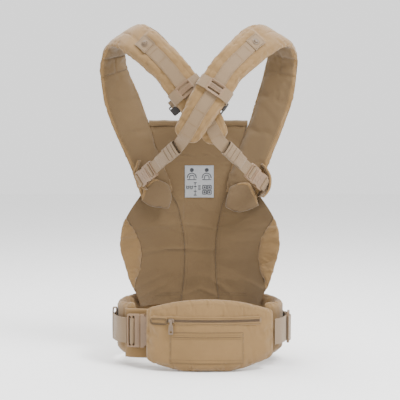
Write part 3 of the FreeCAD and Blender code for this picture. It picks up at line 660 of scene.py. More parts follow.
class Strap:
    """One shoulder pad: its rings, and points on its outer and inner faces."""

    RINGS, AROUND = 130, 44

    def __init__(self, side):
        self.side = side
        rows = STRAP_FRONT[side] + STRAP_BACK[side]
        self.centres, self.across = (np.array([r[k] for r in rows], float) for k in (0, 1))
        fine = np.linspace(0, len(rows) - 1, 4000)
        self.fine, self.length = fine, arc_length(catmull(self.centres, fine))
        stations = np.interp(np.linspace(0, self.length[-1], self.RINGS), self.length, fine)
        self.stations = stations
        self.ring = pad_ring(self.AROUND, 1.0, 1.0)
        self.base = self.build(stations)

    def frames(self, stations):
        centre = catmull(self.centres, stations)
        across = catmull(self.across, stations)
        step = 0.02
        along = unit(catmull(self.centres, stations + step) - catmull(self.centres, stations - step))
        sign = 1 if self.side == "left" else -1
        half = np.linalg.norm(across, axis=-1) / 2
        u = across * sign
        u = unit(u - along * (u * along).sum(-1, keepdims=True))
        return centre, along, u, np.cross(along, u), half

    def frame(self, station):
        centre, along, u, _, half = self.frames(np.array([station]))
        place = Place(centre[0], along[0], u[0])
        place.half = float(half[0])
        return place

    def build(self, stations):
        centre, _, u, n, half = self.frames(stations)
        s = np.interp(stations, self.fine, self.length)
        end = np.clip((self.length[-1] - s) / 20.0, 0, 1)
        start = np.clip(s / 26.0, 0, 1)
        half = half * (0.55 + 0.45 * np.sqrt(1 - (1 - end) ** 2))
        thick = PAD_THICK / 2 * (0.25 + 0.75 * np.sqrt(1 - (1 - end) ** 2)) * (0.5 + 0.5 * start)
        ring_u, ring_n = self.ring[:, 0], self.ring[:, 1]
        return (centre[:, None] + u[:, None] * (half[:, None] * ring_u)[..., None]
                + n[:, None] * (thick[:, None] * ring_n)[..., None])

    def finish(self, grid):
        """Adds seams, puckers and creases to the relaxed rings."""
        fine = refine(grid, 2, 2, closed=True)
        rows = len(fine)
        ring = refine(self.ring[None].repeat(2, 0), 1, 2, closed=True)[0]
        station = np.interp(np.arange(rows) / 2, np.arange(self.RINGS), self.stations)
        s = np.interp(station, self.fine, self.length)[:, None]
        half = self.frames(station)[4][:, None]
        u, out = ring[None, :, 0] * half, ring[None, :, 1]
        n = grid_normals(fine, closed=True)
        centre = fine.mean(1, keepdims=True)
        n = n * np.sign(((fine - centre) * n).sum(-1).mean())
        outer, inner = np.clip(out * 3, 0, 1), np.clip(-out * 3, 0, 1)
        seed = 3 if self.side == "left" else 11
        seam = half - 8.0
        groove = bell(np.abs(u) - seam, 1.5) * outer * 0.8 + bell(np.abs(u) - (half - 5), 1.2) * inner * 0.5
        pucker = value_noise(s / 5.5, np.sign(u) * 3 + 0.5, seed) * bell(np.abs(u) - half, 7) * 0.45
        soft = value_noise(s / 45, u / 40 + out, seed + 1) * 0.9 + value_noise(s / 17, u / 22 + out,
                                                                               seed + 2) * 0.35
        bend = bell(station - 7.6, 1.9)[:, None]
        creases = ridged(s / 13 + u / 60, u / 90 + 4, seed + 3) * bend * (2.4 * inner + 0.5 * outer)
        slack = bell(station - 3.4, 1.9)[:, None] * inner
        creases = creases + ridged(s / 21 + 0.4 * np.sin(u / 14), u / 55, seed + 5) * slack * 1.5
        fold = bell(station - 8.1, 0.8)[:, None] * outer
        creases = creases + fold * (bell(u + 3, 2.0) * 1.6 - 1.2 * np.clip((u + 3) / 9, 0, 1)
                                    * np.clip((28 - u) / 16, 0, 1))
        quilt = sum(bell((station - k) * 45, 2.2)[:, None] * inner for k in (RISE_ROW, SHOULDER_ROW))
        between = ((station > RISE_ROW) & (station < SHOULDER_ROW))[:, None]
        quilt = quilt + bell(u, 2.0) * inner * between
        height = soft - groove - creases - 2.2 * quilt + pucker
        self.grid = fine + n * height[..., None]
        self.normals, self.u, self.station = n, u, station
        self.outer_cols = self.face_columns(ring, True)
        self.inner_cols = self.face_columns(ring, False)
        return self.grid

    def face_columns(self, ring, outer):
        keep = [j for j in range(len(ring)) if (ring[j, 1] > 0.25 if outer else ring[j, 1] < -0.25)]
        return sorted(keep, key=lambda j: ring[j, 0])

    def on_face(self, station, u, lift=0.0, outer=True):
        """A point on the outer or inner face at a station and a distance across, lifted off it."""
        cols = self.outer_cols if outer else self.inner_cols
        row = np.interp(station, self.station, np.arange(len(self.station)))
        r0 = min(int(row), len(self.station) - 2)
        f = row - r0
        line = self.grid[r0, cols] * (1 - f) + self.grid[r0 + 1, cols] * f
        norm = self.normals[r0, cols] * (1 - f) + self.normals[r0 + 1, cols] * f
        place = (self.u[r0, cols] * (1 - f) + self.u[r0 + 1, cols]
                 * f) if self.u.shape[0] > 1 else self.u[0, cols]
        point = np.array([np.interp(u, place, line[:, k]) for k in range(3)])
        normal = unit(np.array([np.interp(u, place, norm[:, k]) for k in range(3)]))
        return point + normal * lift, normal

    def face_grid(self, stations, us, lift, outer=True):
        made = [[self.on_face(s, u, lift, outer) for u in us] for s in stations]
        return np.array([[m[0] for m in row] for row in made]), np.array([[m[1] for m in row]
                                                                          for row in made])

    def station_at(self, station, distance):
        """The station that lies a distance further along."""
        s = np.interp(station, self.fine, self.length) + distance
        return float(np.interp(s, self.length, self.fine))


def strap_cover(strap):
    side = strap.side
    cover = add_closed(Solid(), strap.grid).piece(f"strap_cloth_{side}", "outer_cloth", "outer_cloth")
    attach(cover, "carrier")
    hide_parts(f"strap_cover_{side}", f"strap_foam_{side}")
    stations = np.linspace(strap.station_at(0, 4), strap.station_at(17, -14), 200)
    half = strap.frames(stations)[4]
    wrap, close = (5.0, 2.0) if side == "left" else (2.0, 6.0)
    rows = [[strap.on_face(s, u, 1.0, outer=False) for u in np.linspace(wrap - h, h - close, 26)]
            for s, h in zip(stations, half)]
    grid = np.array([[m[0] for m in row] for row in rows])
    normal = np.array([[m[1] for m in row] for row in rows])
    lining = add_sheet(Solid(), grid, 0.9, normal).piece(f"strap_lining_{side}", "lining_cloth",
                                                         "lining_cloth")
    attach(lining, "carrier")
    thread = Solid()
    for f in (-1, 1):
        line = [strap.on_face(s, f * (h - 7.6), 0.0) for s, h in zip(stations, half)]
        add_stitches(thread, [p for p, _ in line], [n for _, n in line])
        line = [strap.on_face(s, f * (h - (wrap if f < 0 else close) - 1.8), 1.1, outer=False)
                for s, h in zip(stations, half) if s < SLIDER_STATION - 2.2]
        add_stitches(thread, [p for p, _ in line], [n for _, n in line])
    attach(thread.piece(f"strap_stitches_{side}", "thread", "outer_cloth"), "carrier")
    seams = Solid()
    for station in (RISE_ROW, SHOULDER_ROW):
        half = float(strap.frames(np.array([station]))[4][0])
        for step in (0, 3.0):
            k = strap.station_at(station, step)
            line = [strap.on_face(k, u, 1.05, outer=False)
                    for u in np.linspace(wrap + 1 - half, half - close - 1, 40)]
            add_stitches(seams, [p for p, _ in line], [n for _, n in line])
    line = [strap.on_face(k, 0, 1.05, outer=False) for k in np.linspace(RISE_ROW + 0.03, SHOULDER_ROW, 24)]
    add_stitches(seams, [p for p, _ in line], [n for _, n in line])
    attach(seams.piece(f"strap_seams_{side}", "thread_dark", "lining_cloth"), "carrier")


def strap_rail(strap):
    """Rail webbing with its bar tacks, the anchor patch and the hood snap."""
    side = strap.side
    stations = np.linspace(PATCH_STATION - 0.3, strap.station_at(17, -3), 90)
    line = [strap.on_face(s, 0, 1.15) for s in stations]
    path, normals = np.array([p for p, _ in line]), np.array([n for _, n in line])
    tangent = unit(np.gradient(path, axis=0))
    web = add_ribbon(Solid(), path, np.cross(normals, tangent), STRAP_WEB, WEB_THICK)
    web = web.piece(f"rail_web_{side}", "webbing", "webbing")
    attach(web, "carrier")
    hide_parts(f"rail_webbing_{side}")
    tacks = Solid()
    length = strap.length[-1] - np.interp(PATCH_STATION, strap.fine, strap.length)
    for k in (24, 48, length - 62, length - 34, length - 12):
        s = strap.station_at(PATCH_STATION, k)
        line = [strap.on_face(s, u, 2.1) for u in np.linspace(-11, 11, 12)]
        add_stitches(tacks, [p for p, _ in line], [n for _, n in line], pitch=1.9, length=1.6)
    for f in (-1, 1):
        spots = [s for s in stations if s > PATCH_STATION + 0.3]
        line = [strap.on_face(s, f * 10.6, 2.1) for s in spots]
        add_stitches(tacks, [p for p, _ in line], [n for _, n in line], pitch=3.0, length=2.2, radius=0.3)
    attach(tacks.piece(f"rail_tacks_{side}", "thread", "webbing"), "carrier")

    spread = np.linspace(-14, 14, 12)
    stations = [strap.station_at(PATCH_STATION, a) for a in spread]
    grid, normal = strap.face_grid(stations, np.linspace(-14.5, 14.5, 12), 3.4)
    patch = add_sheet(Solid(), grid, 1.3, normal).piece(f"snap_patch_{side}", "webbing", "webbing")
    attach(patch, "carrier")
    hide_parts(f"anchor_patch_{side}")
    sewn = Solid()
    corner = [(-12.3, -12.6), (12.3, -12.6), (12.3, 12.6), (-12.3, 12.6), (-12.3, -12.6)]
    for (a0, u0), (a1, u1) in zip(corner, corner[1:]):
        steps = np.linspace(0, 1, 14)
        line = [strap.on_face(strap.station_at(PATCH_STATION, a0 + (a1 - a0) * t), u0 + (u1 - u0) * t,
                              3.5) for t in steps]
        add_stitches(sewn, [p for p, _ in line], [n for _, n in line], pitch=2.6, length=1.9, radius=0.32)
    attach(sewn.piece(f"patch_stitches_{side}", "thread_dark", "webbing"), "carrier")

    point, normal = strap.on_face(PATCH_STATION, 0, 3.5)
    place = Place(point, strap.frame(PATCH_STATION).a, strap.frame(PATCH_STATION).u)
    place.n = normal
    profile = [(0.05, 0), (6.6, 0), (6.9, 0.4), (6.5, 1.0), (4.9, 1.2), (4.4, 0.9), (4.0, 1.2), (3.6, 3.0),
               (3.1, 3.5),
               (1.7, 3.6), (1.4, 3.1), (0.05, 3.0)]
    snap = add_lathe(Solid(), place, profile).piece(f"snap_stud_{side}", "snap_metal", "snap_metal")
    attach(snap, "carrier")
    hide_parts(f"hood_snap_{side}")


def chest_hardware(strap):
    """The slider on the rail, the elastic band that it carries round the pad, and half of the chest clip."""
    side, body = strap.side, f"chest_slider_{strap.side}"
    f = strap.frame(SLIDER_STATION)
    base = 10.6
    holes = [rounded(a, a + 3.4, -13, 13, 1.2) for a in (-8.6, 5.0)]
    frame_part = Solid()
    add_plate(frame_part, f, rounded(-13, 13, -16.5, 16.5, 3), base, base + 3.0, 0.9, holes)
    add_plate(frame_part, f, rounded(-13, -10.6, -15.5, 15.5, 1), base + 1.4, base + 4.4, 0.6)
    add_plate(frame_part, f, rounded(10.8, 13.4, -12, 12, 1), base + 1.6, base + 3.8, 0.6)
    for k in range(4):
        a = -3.4 + k * 2.2
        add_plate(frame_part, f, rounded(a, a + 1.1, -12, 12, 0.5), base + 2.4, base + 3.7, 0.3)
    slider = frame_part.piece(f"slider_{side}", "slider_plastic", "slider_plastic")
    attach(slider, body)
    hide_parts(f"chest_slider_{side}")

    loop = [(14.0, base + 1.8), (18.5, base + 1.6), (f.half - 6, 9.6), (f.half + 0.4, 6.4),
            (f.half + 1.9, 0),
            (f.half + 0.4, -6.4), (f.half - 8, -9.8), (0, -10.2)]
    ring = loop + [(-u, n) for u, n in loop[-2::-1]]
    path = resample([f.at(0, u, n) for u, n in ring], 90)
    band = add_ribbon(Solid(), path, f.a, 25, 1.5)
    band = band.piece(f"band_{side}", "elastic", "elastic")
    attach(band, body)
    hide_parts(f"chest_band_{side}")
    sewn = Solid()
    for sign in (-1, 1):
        for back in (20.5, 24.0):
            line = [f.at(a, sign * back, 12.3 - (back - 18) * 0.26) for a in np.linspace(-10.5, 10.5, 8)]
            add_stitches(sewn, line, [f.n] * 8, pitch=2.2, length=1.7, radius=0.32)
    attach(sewn.piece(f"band_stitches_{side}", "thread", "elastic"), body)

    edge = -1 if side == "left" else 1
    inward = 7.0 if side == "left" else -4.0
    c = f.moved(0, edge * (f.half + inward), -PAD_THICK / 2 - 4.4)
    clip = Solid()
    if side == "left":
        add_plate(clip, c, rounded(2, 22, -9, 9, 3.2), -6, -0.6, 0.8, [rounded(4, 7, -7, 7, 1)])
    else:
        add_plate(clip, c, rounded(2, 20, -10, 10, 3.2), -6, -0.6, 0.8)
        for u, w in ((-9, 3), (-2, 4), (6, 3)):
            add_plate(clip, c, rounded(19, 28, u, u + w, 1.4), -4.8, -1.8, 0.5)
    tape = [f.at(0, edge * u, n) for u,
            n in ((f.half - 12, -13.0), (f.half - 2, -13.2), (f.half + inward + 3, -14.0))]
    tape = add_ribbon(Solid(), resample(tape, 20), f.a, 14, 1.4)
    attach(tape.piece(f"clip_tape_{side}", "webbing", "elastic"), body)
    clip = clip.piece(f"clip_{side}", "dark_plastic", "dark_plastic")
    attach(clip, body)
    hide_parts(f"chest_clip_{side}")


# ---- side-release buckles ----------------------------------------------------------------------------------
BUCKLE_LINE = {"left": ((-42, -90, 430), (-122, 36, 360)), "right": ((48, -70, 429), (129, 36, 352))}
BUCKLE_ACROSS = {"left": (0.53, -0.18, -0.83), "right": (0.53, 0.18, 0.83)}


class Buckle:
    """Plug and socket for one webbing width, as in the CAD; front is the side of n that is seen."""

    def __init__(self, place, web, front):
        k = web / 25.0
        self.f, self.web, self.front = place, web, front
        self.half, self.t = 0.64 * web + 0.4, 2.0 + 2.1 * k
        self.body, self.reach = 18.0 + 4.0 * k, 16.0 + 4.0 * k
        self.start = self.body + 0.6
        self.end = self.start + 30.0 + 8.0 * k

    def plug(self, name, node, body):
        s, f, h, t, b = Solid(), self.f, self.half, self.t, self.body
        slots = [rounded(3.4, 7.4, -h + 3.6, h - 3.6, 1.2), rounded(11.2, 15.0, -h + 3.6, h - 3.6, 1.2)]
        add_plate(s, f, rounded(0, b, -h, h, 3.0), -t, t, 1.0, slots)
        add_plate(s, f, rounded(7.0, 11.6, -h + 3.0, h - 3.0, 1.0), -t * 0.6, t * 0.6, 0.8)
        for k in range(3):
            add_plate(s, f, rounded(b - 5.2 + k * 1.7, b - 4.3 + k * 1.7, -h + 5, h - 5, 0.4), -t - 0.35,
                      t + 0.35, 0.25)
        arm, inner = t - 2.5, h - 2.6
        add_plate(s, f, rounded(b - 2, b + 0.8 * self.reach, -0.15 * self.web, 0.15 * self.web, 2), -arm,
                  arm, 0.6)
        for sign in (-1, 1):
            outline = [(b - 2, 0.55), (b + self.reach * 0.7, 0.66), (b + self.reach, 0.74),
                       (b + self.reach, 0.9),
                       (b + 0.8 * self.reach, 1.0), (b + 0.5 * self.reach, 0.99), (b + 0.38 * self.reach,
                                                                                   0.86),
                       (b - 2, 0.80)]
            pts = [(a, sign * u * inner) for a, u in outline]
            add_plate(s, f, pts if sign > 0 else pts[::-1], -arm, arm, 0.5)
        piece = s.piece(name, "buckle_plastic", "buckle_plastic")
        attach(piece, body)
        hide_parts(node)
        top = self.front * (t + 0.9)
        bend = [(5.9, 0), (6.2, top * 0.7), (7.4, top), (9.4, top * 1.08), (11.6, top), (13.2, top * 0.6),
                (14.2, 0)]
        path = resample([f.at(a, 0, n) for a, n in bend], 30)
        wrap = add_ribbon(Solid(), path, f.u, self.web, 1.6).piece(f"{name}_web", "webbing", "webbing")
        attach(wrap, body)

    def socket(self, name, node):
        """Two outer plates and side rails round the open window that each arm's button stands in."""
        s, f, h, t, a0, a1 = Solid(), self.f, self.half, self.t, self.start, self.end
        w0, w1 = a0 + 0.30 * self.reach, a0 + self.reach
        waist = 0.13 * h
        slot = rounded(a1 - 7.9, a1 - 3.5, -h + 3.6, h - 3.6, 1.2)
        edge = [(a0, -h), (w0, -h), (w0 + 2, -h + waist), (w1 - 2, -h + waist), (w1, -h), (a1 - 2.5, -h),
                (a1, -h + 2.5)]
        outline = edge + [(a, -u) for a, u in edge[::-1]]
        for low, high in ((-t, -t + 2.0), (t - 2.0, t)):
            add_plate(s, f, outline, low, high, 0.7, [slot])
        for sign in (-1, 1):
            rail = sorted((sign * (h - 2.2), sign * h))
            add_plate(s, f, rounded(a0, w0, rail[0], rail[1], 0.7), -t + 1, t - 1, 0.3)
            add_plate(s, f, rounded(w1, a1 - 8.2, rail[0], rail[1], 0.7), -t + 1, t - 1, 0.3)
        add_plate(s, f, rounded(w1 + 1.5, a1 - 8.4, -h + 1.4, h - 1.4, 2), -t + 0.6, t - 0.6, 0.5)
        add_plate(s, f, rounded(a1 - 3.3, a1, -h + 0.4, h - 0.4, 1.4), -t * 0.75, t * 0.75, 0.8)
        top = sorted((self.front * (t - 0.6), self.front * (t + 0.5)))
        length = a1 - 10 - a0
        for a, u0, u1 in ((0.2, -0.5, -0.12), (0.2, 0.12, 0.5), (0.52, -0.5, -0.12), (0.52, 0.12, 0.5)):
            add_plate(s, f, rounded(a0 + a * length, a0 + (a + 0.2) * length, h * u0, h * u1, 1.0), top[0],
                      top[1], 0.35)
        piece = s.piece(name, "buckle_plastic", "buckle_plastic")
        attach(piece, "carrier")
        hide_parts(node)

    def end_loop(self, name, node, width, reach, thick):
        """Webbing loop through the socket's far bar."""
        rise, inside = self.t + 0.5 + thick / 2, self.end - 5.5
        far = self.end + reach - thick / 2
        pts = [(inside, 0), (inside, rise * 0.8), (inside + 3, rise), (far - 5, rise * 0.9),
               (far - 1, rise * 0.45),
               (far, 0), (far - 1, -rise * 0.45), (far - 5, -rise * 0.9), (inside + 3, -rise), (inside,
                                                                                                -rise * 0.8),
               (inside, -0.2)]
        path = resample([self.f.at(a, 0, n) for a, n in pts], 50)
        piece = add_ribbon(Solid(), path, self.f.u, width, thick).piece(name, "webbing", "webbing")
        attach(piece, "carrier")
        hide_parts(node)


def shoulder_buckle(side):
    start, end = (vec(*p) for p in BUCKLE_LINE[side])
    place = Place(start, end - start, BUCKLE_ACROSS[side])
    free = np.linalg.norm(end - start) - Buckle(place, STRAP_WEB, 1).end
    place = place.moved(free)
    front = -1.0 if place.n[1] > 0 else 1.0
    buckle = Buckle(place, STRAP_WEB, front)
    buckle.free = free
    return buckle


def shoulder_webbing(side):
    """Free webbing with a slight sag, and the rolled-up tail in its elastic keeper."""
    b = shoulder_buckle(side)
    f, free, up = b.f, b.free, b.front
    a = np.linspace(-free - 1, 5.9, 60)
    sag = -2.0 * np.sin(np.clip((a + free) / free, 0, 1) * math.pi)
    path = f.at(a, 0 * a, WEB_THICK / 2 * up + sag * up * 0.5)
    web = add_ribbon(Solid(), path, f.u, STRAP_WEB, WEB_THICK)
    web = web.piece(f"free_web_{side}", "webbing", "webbing")
    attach(web, "carrier")
    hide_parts(f"strap_webbing_{side}")
    anchor = f.at(-free, 0, 0) * MM
    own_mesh(web)
    roll = Solid()
    for start, stop, low, high in ((30.0, free - 29.0, 1.9, 7.6), (34.0, free - 31.0, 3.6, 6.0)):
        length = stop - start
        ring = [(start, low), (start + length * 0.5, low - 0.2), (stop - 3, low), (stop, (low + high) / 2),
                (stop - 3, high), (start + length * 0.5, high + 0.5), (start, high - 0.3)]
        path = resample([f.at(a - free, 0, n * up) for a, n in ring], 60)
        add_ribbon(roll, path, f.u, STRAP_WEB - 0.4, 1.5)
    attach(roll.piece(f"web_roll_{side}", "webbing", "webbing"), "carrier")
    keeper = Solid()
    for k in range(6):
        w, t0, t1 = STRAP_WEB / 2 + 1.3, -1.6, 8.2 + 0.7 * (k % 2)
        ring = [(w, 1.0), (w, 5.6), (w - 2.2, t1), (0, t1 + 0.5), (2.2 - w, t1), (-w, 5.6), (-w, 1.0),
                (2.2 - w, t0),
                (0, t0 - 0.3), (w - 2.2, t0), (w, 0.9)]
        path = resample([f.at(3.5 + 7.0 * k - free, u, n * up) for u, n in ring], 44)
        add_ribbon(keeper, path, f.a, 6.7, 1.1)
    keeper = keeper.piece(f"keeper_{side}", "elastic", "elastic")
    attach(keeper, "carrier")
    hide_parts(f"webbing_keeper_{side}")


def root_webbing(strap):
    """Fixed webbing from the end of a strap's rail to where its free webbing starts, on the other side."""
    other = "right" if strap.side == "left" else "left"
    b = shoulder_buckle(other)
    rail = [strap.on_face(strap.station_at(17, d), 0, 1.4)[0] for d in (-24, -13, -5)]
    start = [b.f.at(a - b.free, 0, 0.9 * b.front) for a in (-3.0, 4.0, 12.0)]
    path = resample(np.array(rail + start), 40)
    t = np.clip(np.linspace(-0.3, 1.2, 40), 0, 1)[:, None]
    across = unit(strap.frame(16.6).u * (1 - t) + b.f.u * t)
    web = add_ribbon(Solid(), path, across, STRAP_WEB, WEB_THICK).piece(f"root_web_{other}", "webbing",
                                                                        "webbing")
    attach(web, "carrier")


LOOP_PATH = {
    "left": [(-125.5, 399.6), (-130.6, 383), (-133.3, 373.5), (-128.2, 358), (-121.8, 349.6),
             (-111.4, 340)],
    "right": [(127, 392), (134.7, 383.3), (142.5, 366.2), (142, 347.4), (137, 335), (128, 325)],
}


def fabric_loop(side):
    """Edge of the cloth pocket that the shoulder buckle's socket is anchored in."""
    sign = -1 if side == "left" else 1
    pts = resample(np.array([(x, 34, z) for x, z in LOOP_PATH[side]], float), 50)
    pts[:, 1] += np.linspace(8, -2, 50)
    s = Solid()
    add_ribbon(s, pts + vec(-4 * sign, 13, 0), np.tile(unit(vec(-0.42 * sign, 1, 0)), (50, 1)), 28, 2.0)
    fade = np.sqrt(np.clip(np.sin(np.linspace(0.1, math.pi - 0.1, 50)), 0.1, 1))
    add_tube(s, pts, 2.7 * fade, 12)
    back = pts + vec(-6 * sign, 24, 0)
    chord = back[:1] + (back[-1:] - back[:1]) * np.linspace(0, 1, 50)[:, None] - vec(4 * sign, 0, 0)
    inner = back[:, None] + (chord - back)[:, None] * np.linspace(0, 1, 10)[None, :, None]
    inner[..., 1] += 3 * np.sin(np.linspace(0, math.pi, 10))
    inside = add_sheet(Solid(), inner, 1.2).piece(f"buckle_pocket_inside_{side}", "lining_cloth",
                                                  "lining_cloth")
    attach(inside, "carrier")
    loop = s.piece(f"buckle_pocket_{side}", "outer_cloth", "outer_cloth")
    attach(loop, "carrier")


def shoulder_hardware(side):
    b = shoulder_buckle(side)
    b.plug(f"plug_{side}", f"shoulder_plug_{side}", f"shoulder_plug_{side}")
    b.socket(f"socket_{side}", f"shoulder_socket_{side}")
    b.end_loop(f"socket_web_{side}", f"socket_loop_{side}", STRAP_WEB, 11, WEB_THICK)
    shoulder_webbing(side)


# ---- cloth -------------------------------------------------------------------------------------------------
def relax(grid, held, pressure=4.0, shrink=-0.02, frames=18, cap=3.0):
    """Lets a closed grid settle as air-filled cloth, held where sewn; no point moves further than the cap."""
    rows, cols = grid.shape[:2]
    mesh = bpy.data.meshes.new("settling")
    faces = grid_faces(rows, cols, True)
    faces += [tuple(range(cols))[::-1], tuple((rows - 1) * cols + j for j in range(cols))]
    mesh.from_pydata((grid.reshape(-1, 3) * MM).tolist(), [], faces)
    outward(mesh)
    obj = bpy.data.objects.new("settling", mesh)
    bpy.context.scene.collection.objects.link(obj)
    group = obj.vertex_groups.new(name="held")
    group.add(np.flatnonzero(held.ravel()).tolist(), 1.0, "REPLACE")
    cloth = obj.modifiers.new("cloth", "CLOTH")
    cloth.settings.vertex_group_mass = "held"
    cloth.settings.use_pressure = True
    cloth.settings.uniform_pressure_force = pressure
    cloth.settings.shrink_min = shrink
    cloth.settings.effector_weights.gravity = 0
    cloth.settings.bending_stiffness = 0.3
    cloth.point_cache.frame_start, cloth.point_cache.frame_end = 1, frames
    scene = bpy.context.scene
    for k in range(1, frames + 1):
        scene.frame_set(k)
    settled = obj.evaluated_get(bpy.context.evaluated_depsgraph_get()).data
    coords = np.empty(rows * cols * 3)
    settled.vertices.foreach_get("co", coords)
    bpy.data.objects.remove(obj)
    bpy.data.meshes.remove(mesh)
    scene.frame_set(1)
    move = coords.reshape(grid.shape) / MM - grid
    size = np.linalg.norm(move, axis=-1, keepdims=True)
    return grid + move * np.minimum(1, cap / np.maximum(size, 1e-9))


def outward(mesh):
    """Turns every face of a closed mesh outward."""
    work = bmesh.new()
    work.from_mesh(mesh)
    bmesh.ops.recalc_face_normals(work, faces=work.faces)
    work.to_mesh(mesh)
    work.free()


# ---- panel -------------------------------------------------------------------------------------------------
PANEL = [
    (98, 122, 113, 60), (126, 131, 113, 52), (150, 141, 113, 51), (170, 148, 113, 50), (200, 156, 113, 47),
    (225, 161, 112, 45), (252, 159, 110, 47), (280, 153, 108, 50), (305, 138, 104, 56), (329, 121, 101, 62),
    (364, 65, 97, 88), (396, 74, 94, 85), (440, 88, 91, 83), (480, 99, 88, 82),
]
PANEL_Z = [row[0] for row in PANEL]
panel_mid = smooth_table(PANEL_Z, [row[2] for row in PANEL], 8)
panel_side_y = smooth_table(PANEL_Z[:10] + PANEL_Z[11:], [row[3] for row in PANEL[:10] + PANEL[11:]], 8)
panel_edge = smooth_table(PANEL_Z[:10], [row[1] for row in PANEL[:10]], 6)
reach_half = smooth_table(PANEL_Z, [122, 131, 141, 148, 156, 161, 159, 153, 138, 121, 110, 100, 99, 99], 8)
leg_seam = smooth_table([120, 150, 170, 200, 225, 252, 268, 284], [137, 133, 125, 121, 123, 133, 143, 153],
                        5)
centre_half = smooth_table(PANEL_Z, [40, 37, 34, 33, 32, 33, 36, 41, 46, 58, 70, 80, 94, 104.5], 6)
centre_lean = smooth_table(PANEL_Z, [0, 0, 0, 0, 0, 0, 0, 0, 0.5, 1.5, 3.5, 5, 4.7, 3.6], 10)


def centre_seam(z, sign):
    """Where the centre strip ends, on the side that the sign gives; it leans to -X higher up."""
    return centre_half(z) - sign * centre_lean(z)


def panel_creases(x, z):
    """How far the slack panel stands towards the wearer, with its soft horizontal folds."""
    soft = value_noise(x / 75 + 9.3, z / 55, 21) * 2.2 + value_noise(x / 32, z / 21 + 3, 22) * 0.9
    folds = ridged(z / 27 + 0.12 * np.sin(x / 35) + 0.7, x / 150 + 2.5, 23) * bell(z - 235, 48)
    drag = ridged((z - 0.55 * np.abs(x)) / 24, np.sign(x) * 5 + x / 160, 24) * bell(z - 285,
                                                                                    40) * (np.abs(x) > 34)
    pull = ridged((z + 0.4 * np.abs(x)) / 20, x / 120 + 7, 25) * bell(z - 130, 34)
    fine = value_noise(x / 13, z / 9, 26) * 0.22
    return soft + fine + 4.6 * folds + 3.4 * drag + 2.6 * pull


def panel_point(x, z, lift=0.0):
    """A point of the panel's middle surface, moved towards the wearer by lift."""
    half, mid, side = reach_half(z), panel_mid(z), panel_side_y(z)
    sag = mid - side
    radius = (half ** 2 + sag ** 2) / (2 * sag)
    depth = mid - radius + np.sqrt(np.maximum(radius ** 2 - x ** 2, 1))
    calm = 1 - 0.7 * np.clip((z - 385) / 20, 0, 1)
    return np.stack([x, depth - panel_creases(x, z) * calm - lift, z + 0 * x], -1)


def panel_grid(low, high, start, end, step=3.2, side=1, lift=0.0):
    """Rows up the panel, columns across it between two boundary functions of z."""
    z = np.linspace(low, high, int((high - low) / step) + 2)[:, None]
    width = float(np.max(end(z) - start(z)))
    t = np.linspace(0, 1, int(width / step) + 3)[None]
    x = (start(z) + (end(z) - start(z)) * t) * side
    return panel_point(x, z + 0 * x, lift)


def panel_piece(name, node, material, grid, thick, outside, bounds):
    """One layer of a panel strip with sewn grooves along the given sides (row and column ends)."""
    rows_d, cols_d = border_distance(grid)
    grid = grid.copy()
    groove = bell(cols_d, 1.6) * 0.9 + bell(rows_d, 1.6) * 0.5 + bell(cols_d - 5.0, 1.3) * 0.45
    pucker = value_noise(grid[..., 2] / 5, grid[..., 0] / 30, 31) * bell(cols_d, 6) * 0.3
    sign = 1 if outside else -1
    top = grid.copy()
    top[..., 1] += sign * (thick - groove * (1 if bounds else 0) + pucker)
    solid = Solid()
    normals = np.zeros_like(top)
    normals[..., 1] = sign
    add_sheet(solid, top, thick - 0.1, normals)
    piece = solid.piece(name, material, material)
    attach(piece, "carrier")
    if node:
        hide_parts(node)


def along_panel(front, path_x, path_z, lift):
    """Points on the wearer's face of the panel."""
    pts = panel_point(np.asarray(path_x, float), np.asarray(path_z, float), lift)
    return pts if front else pts + vec(0, 2 * lift, 0)


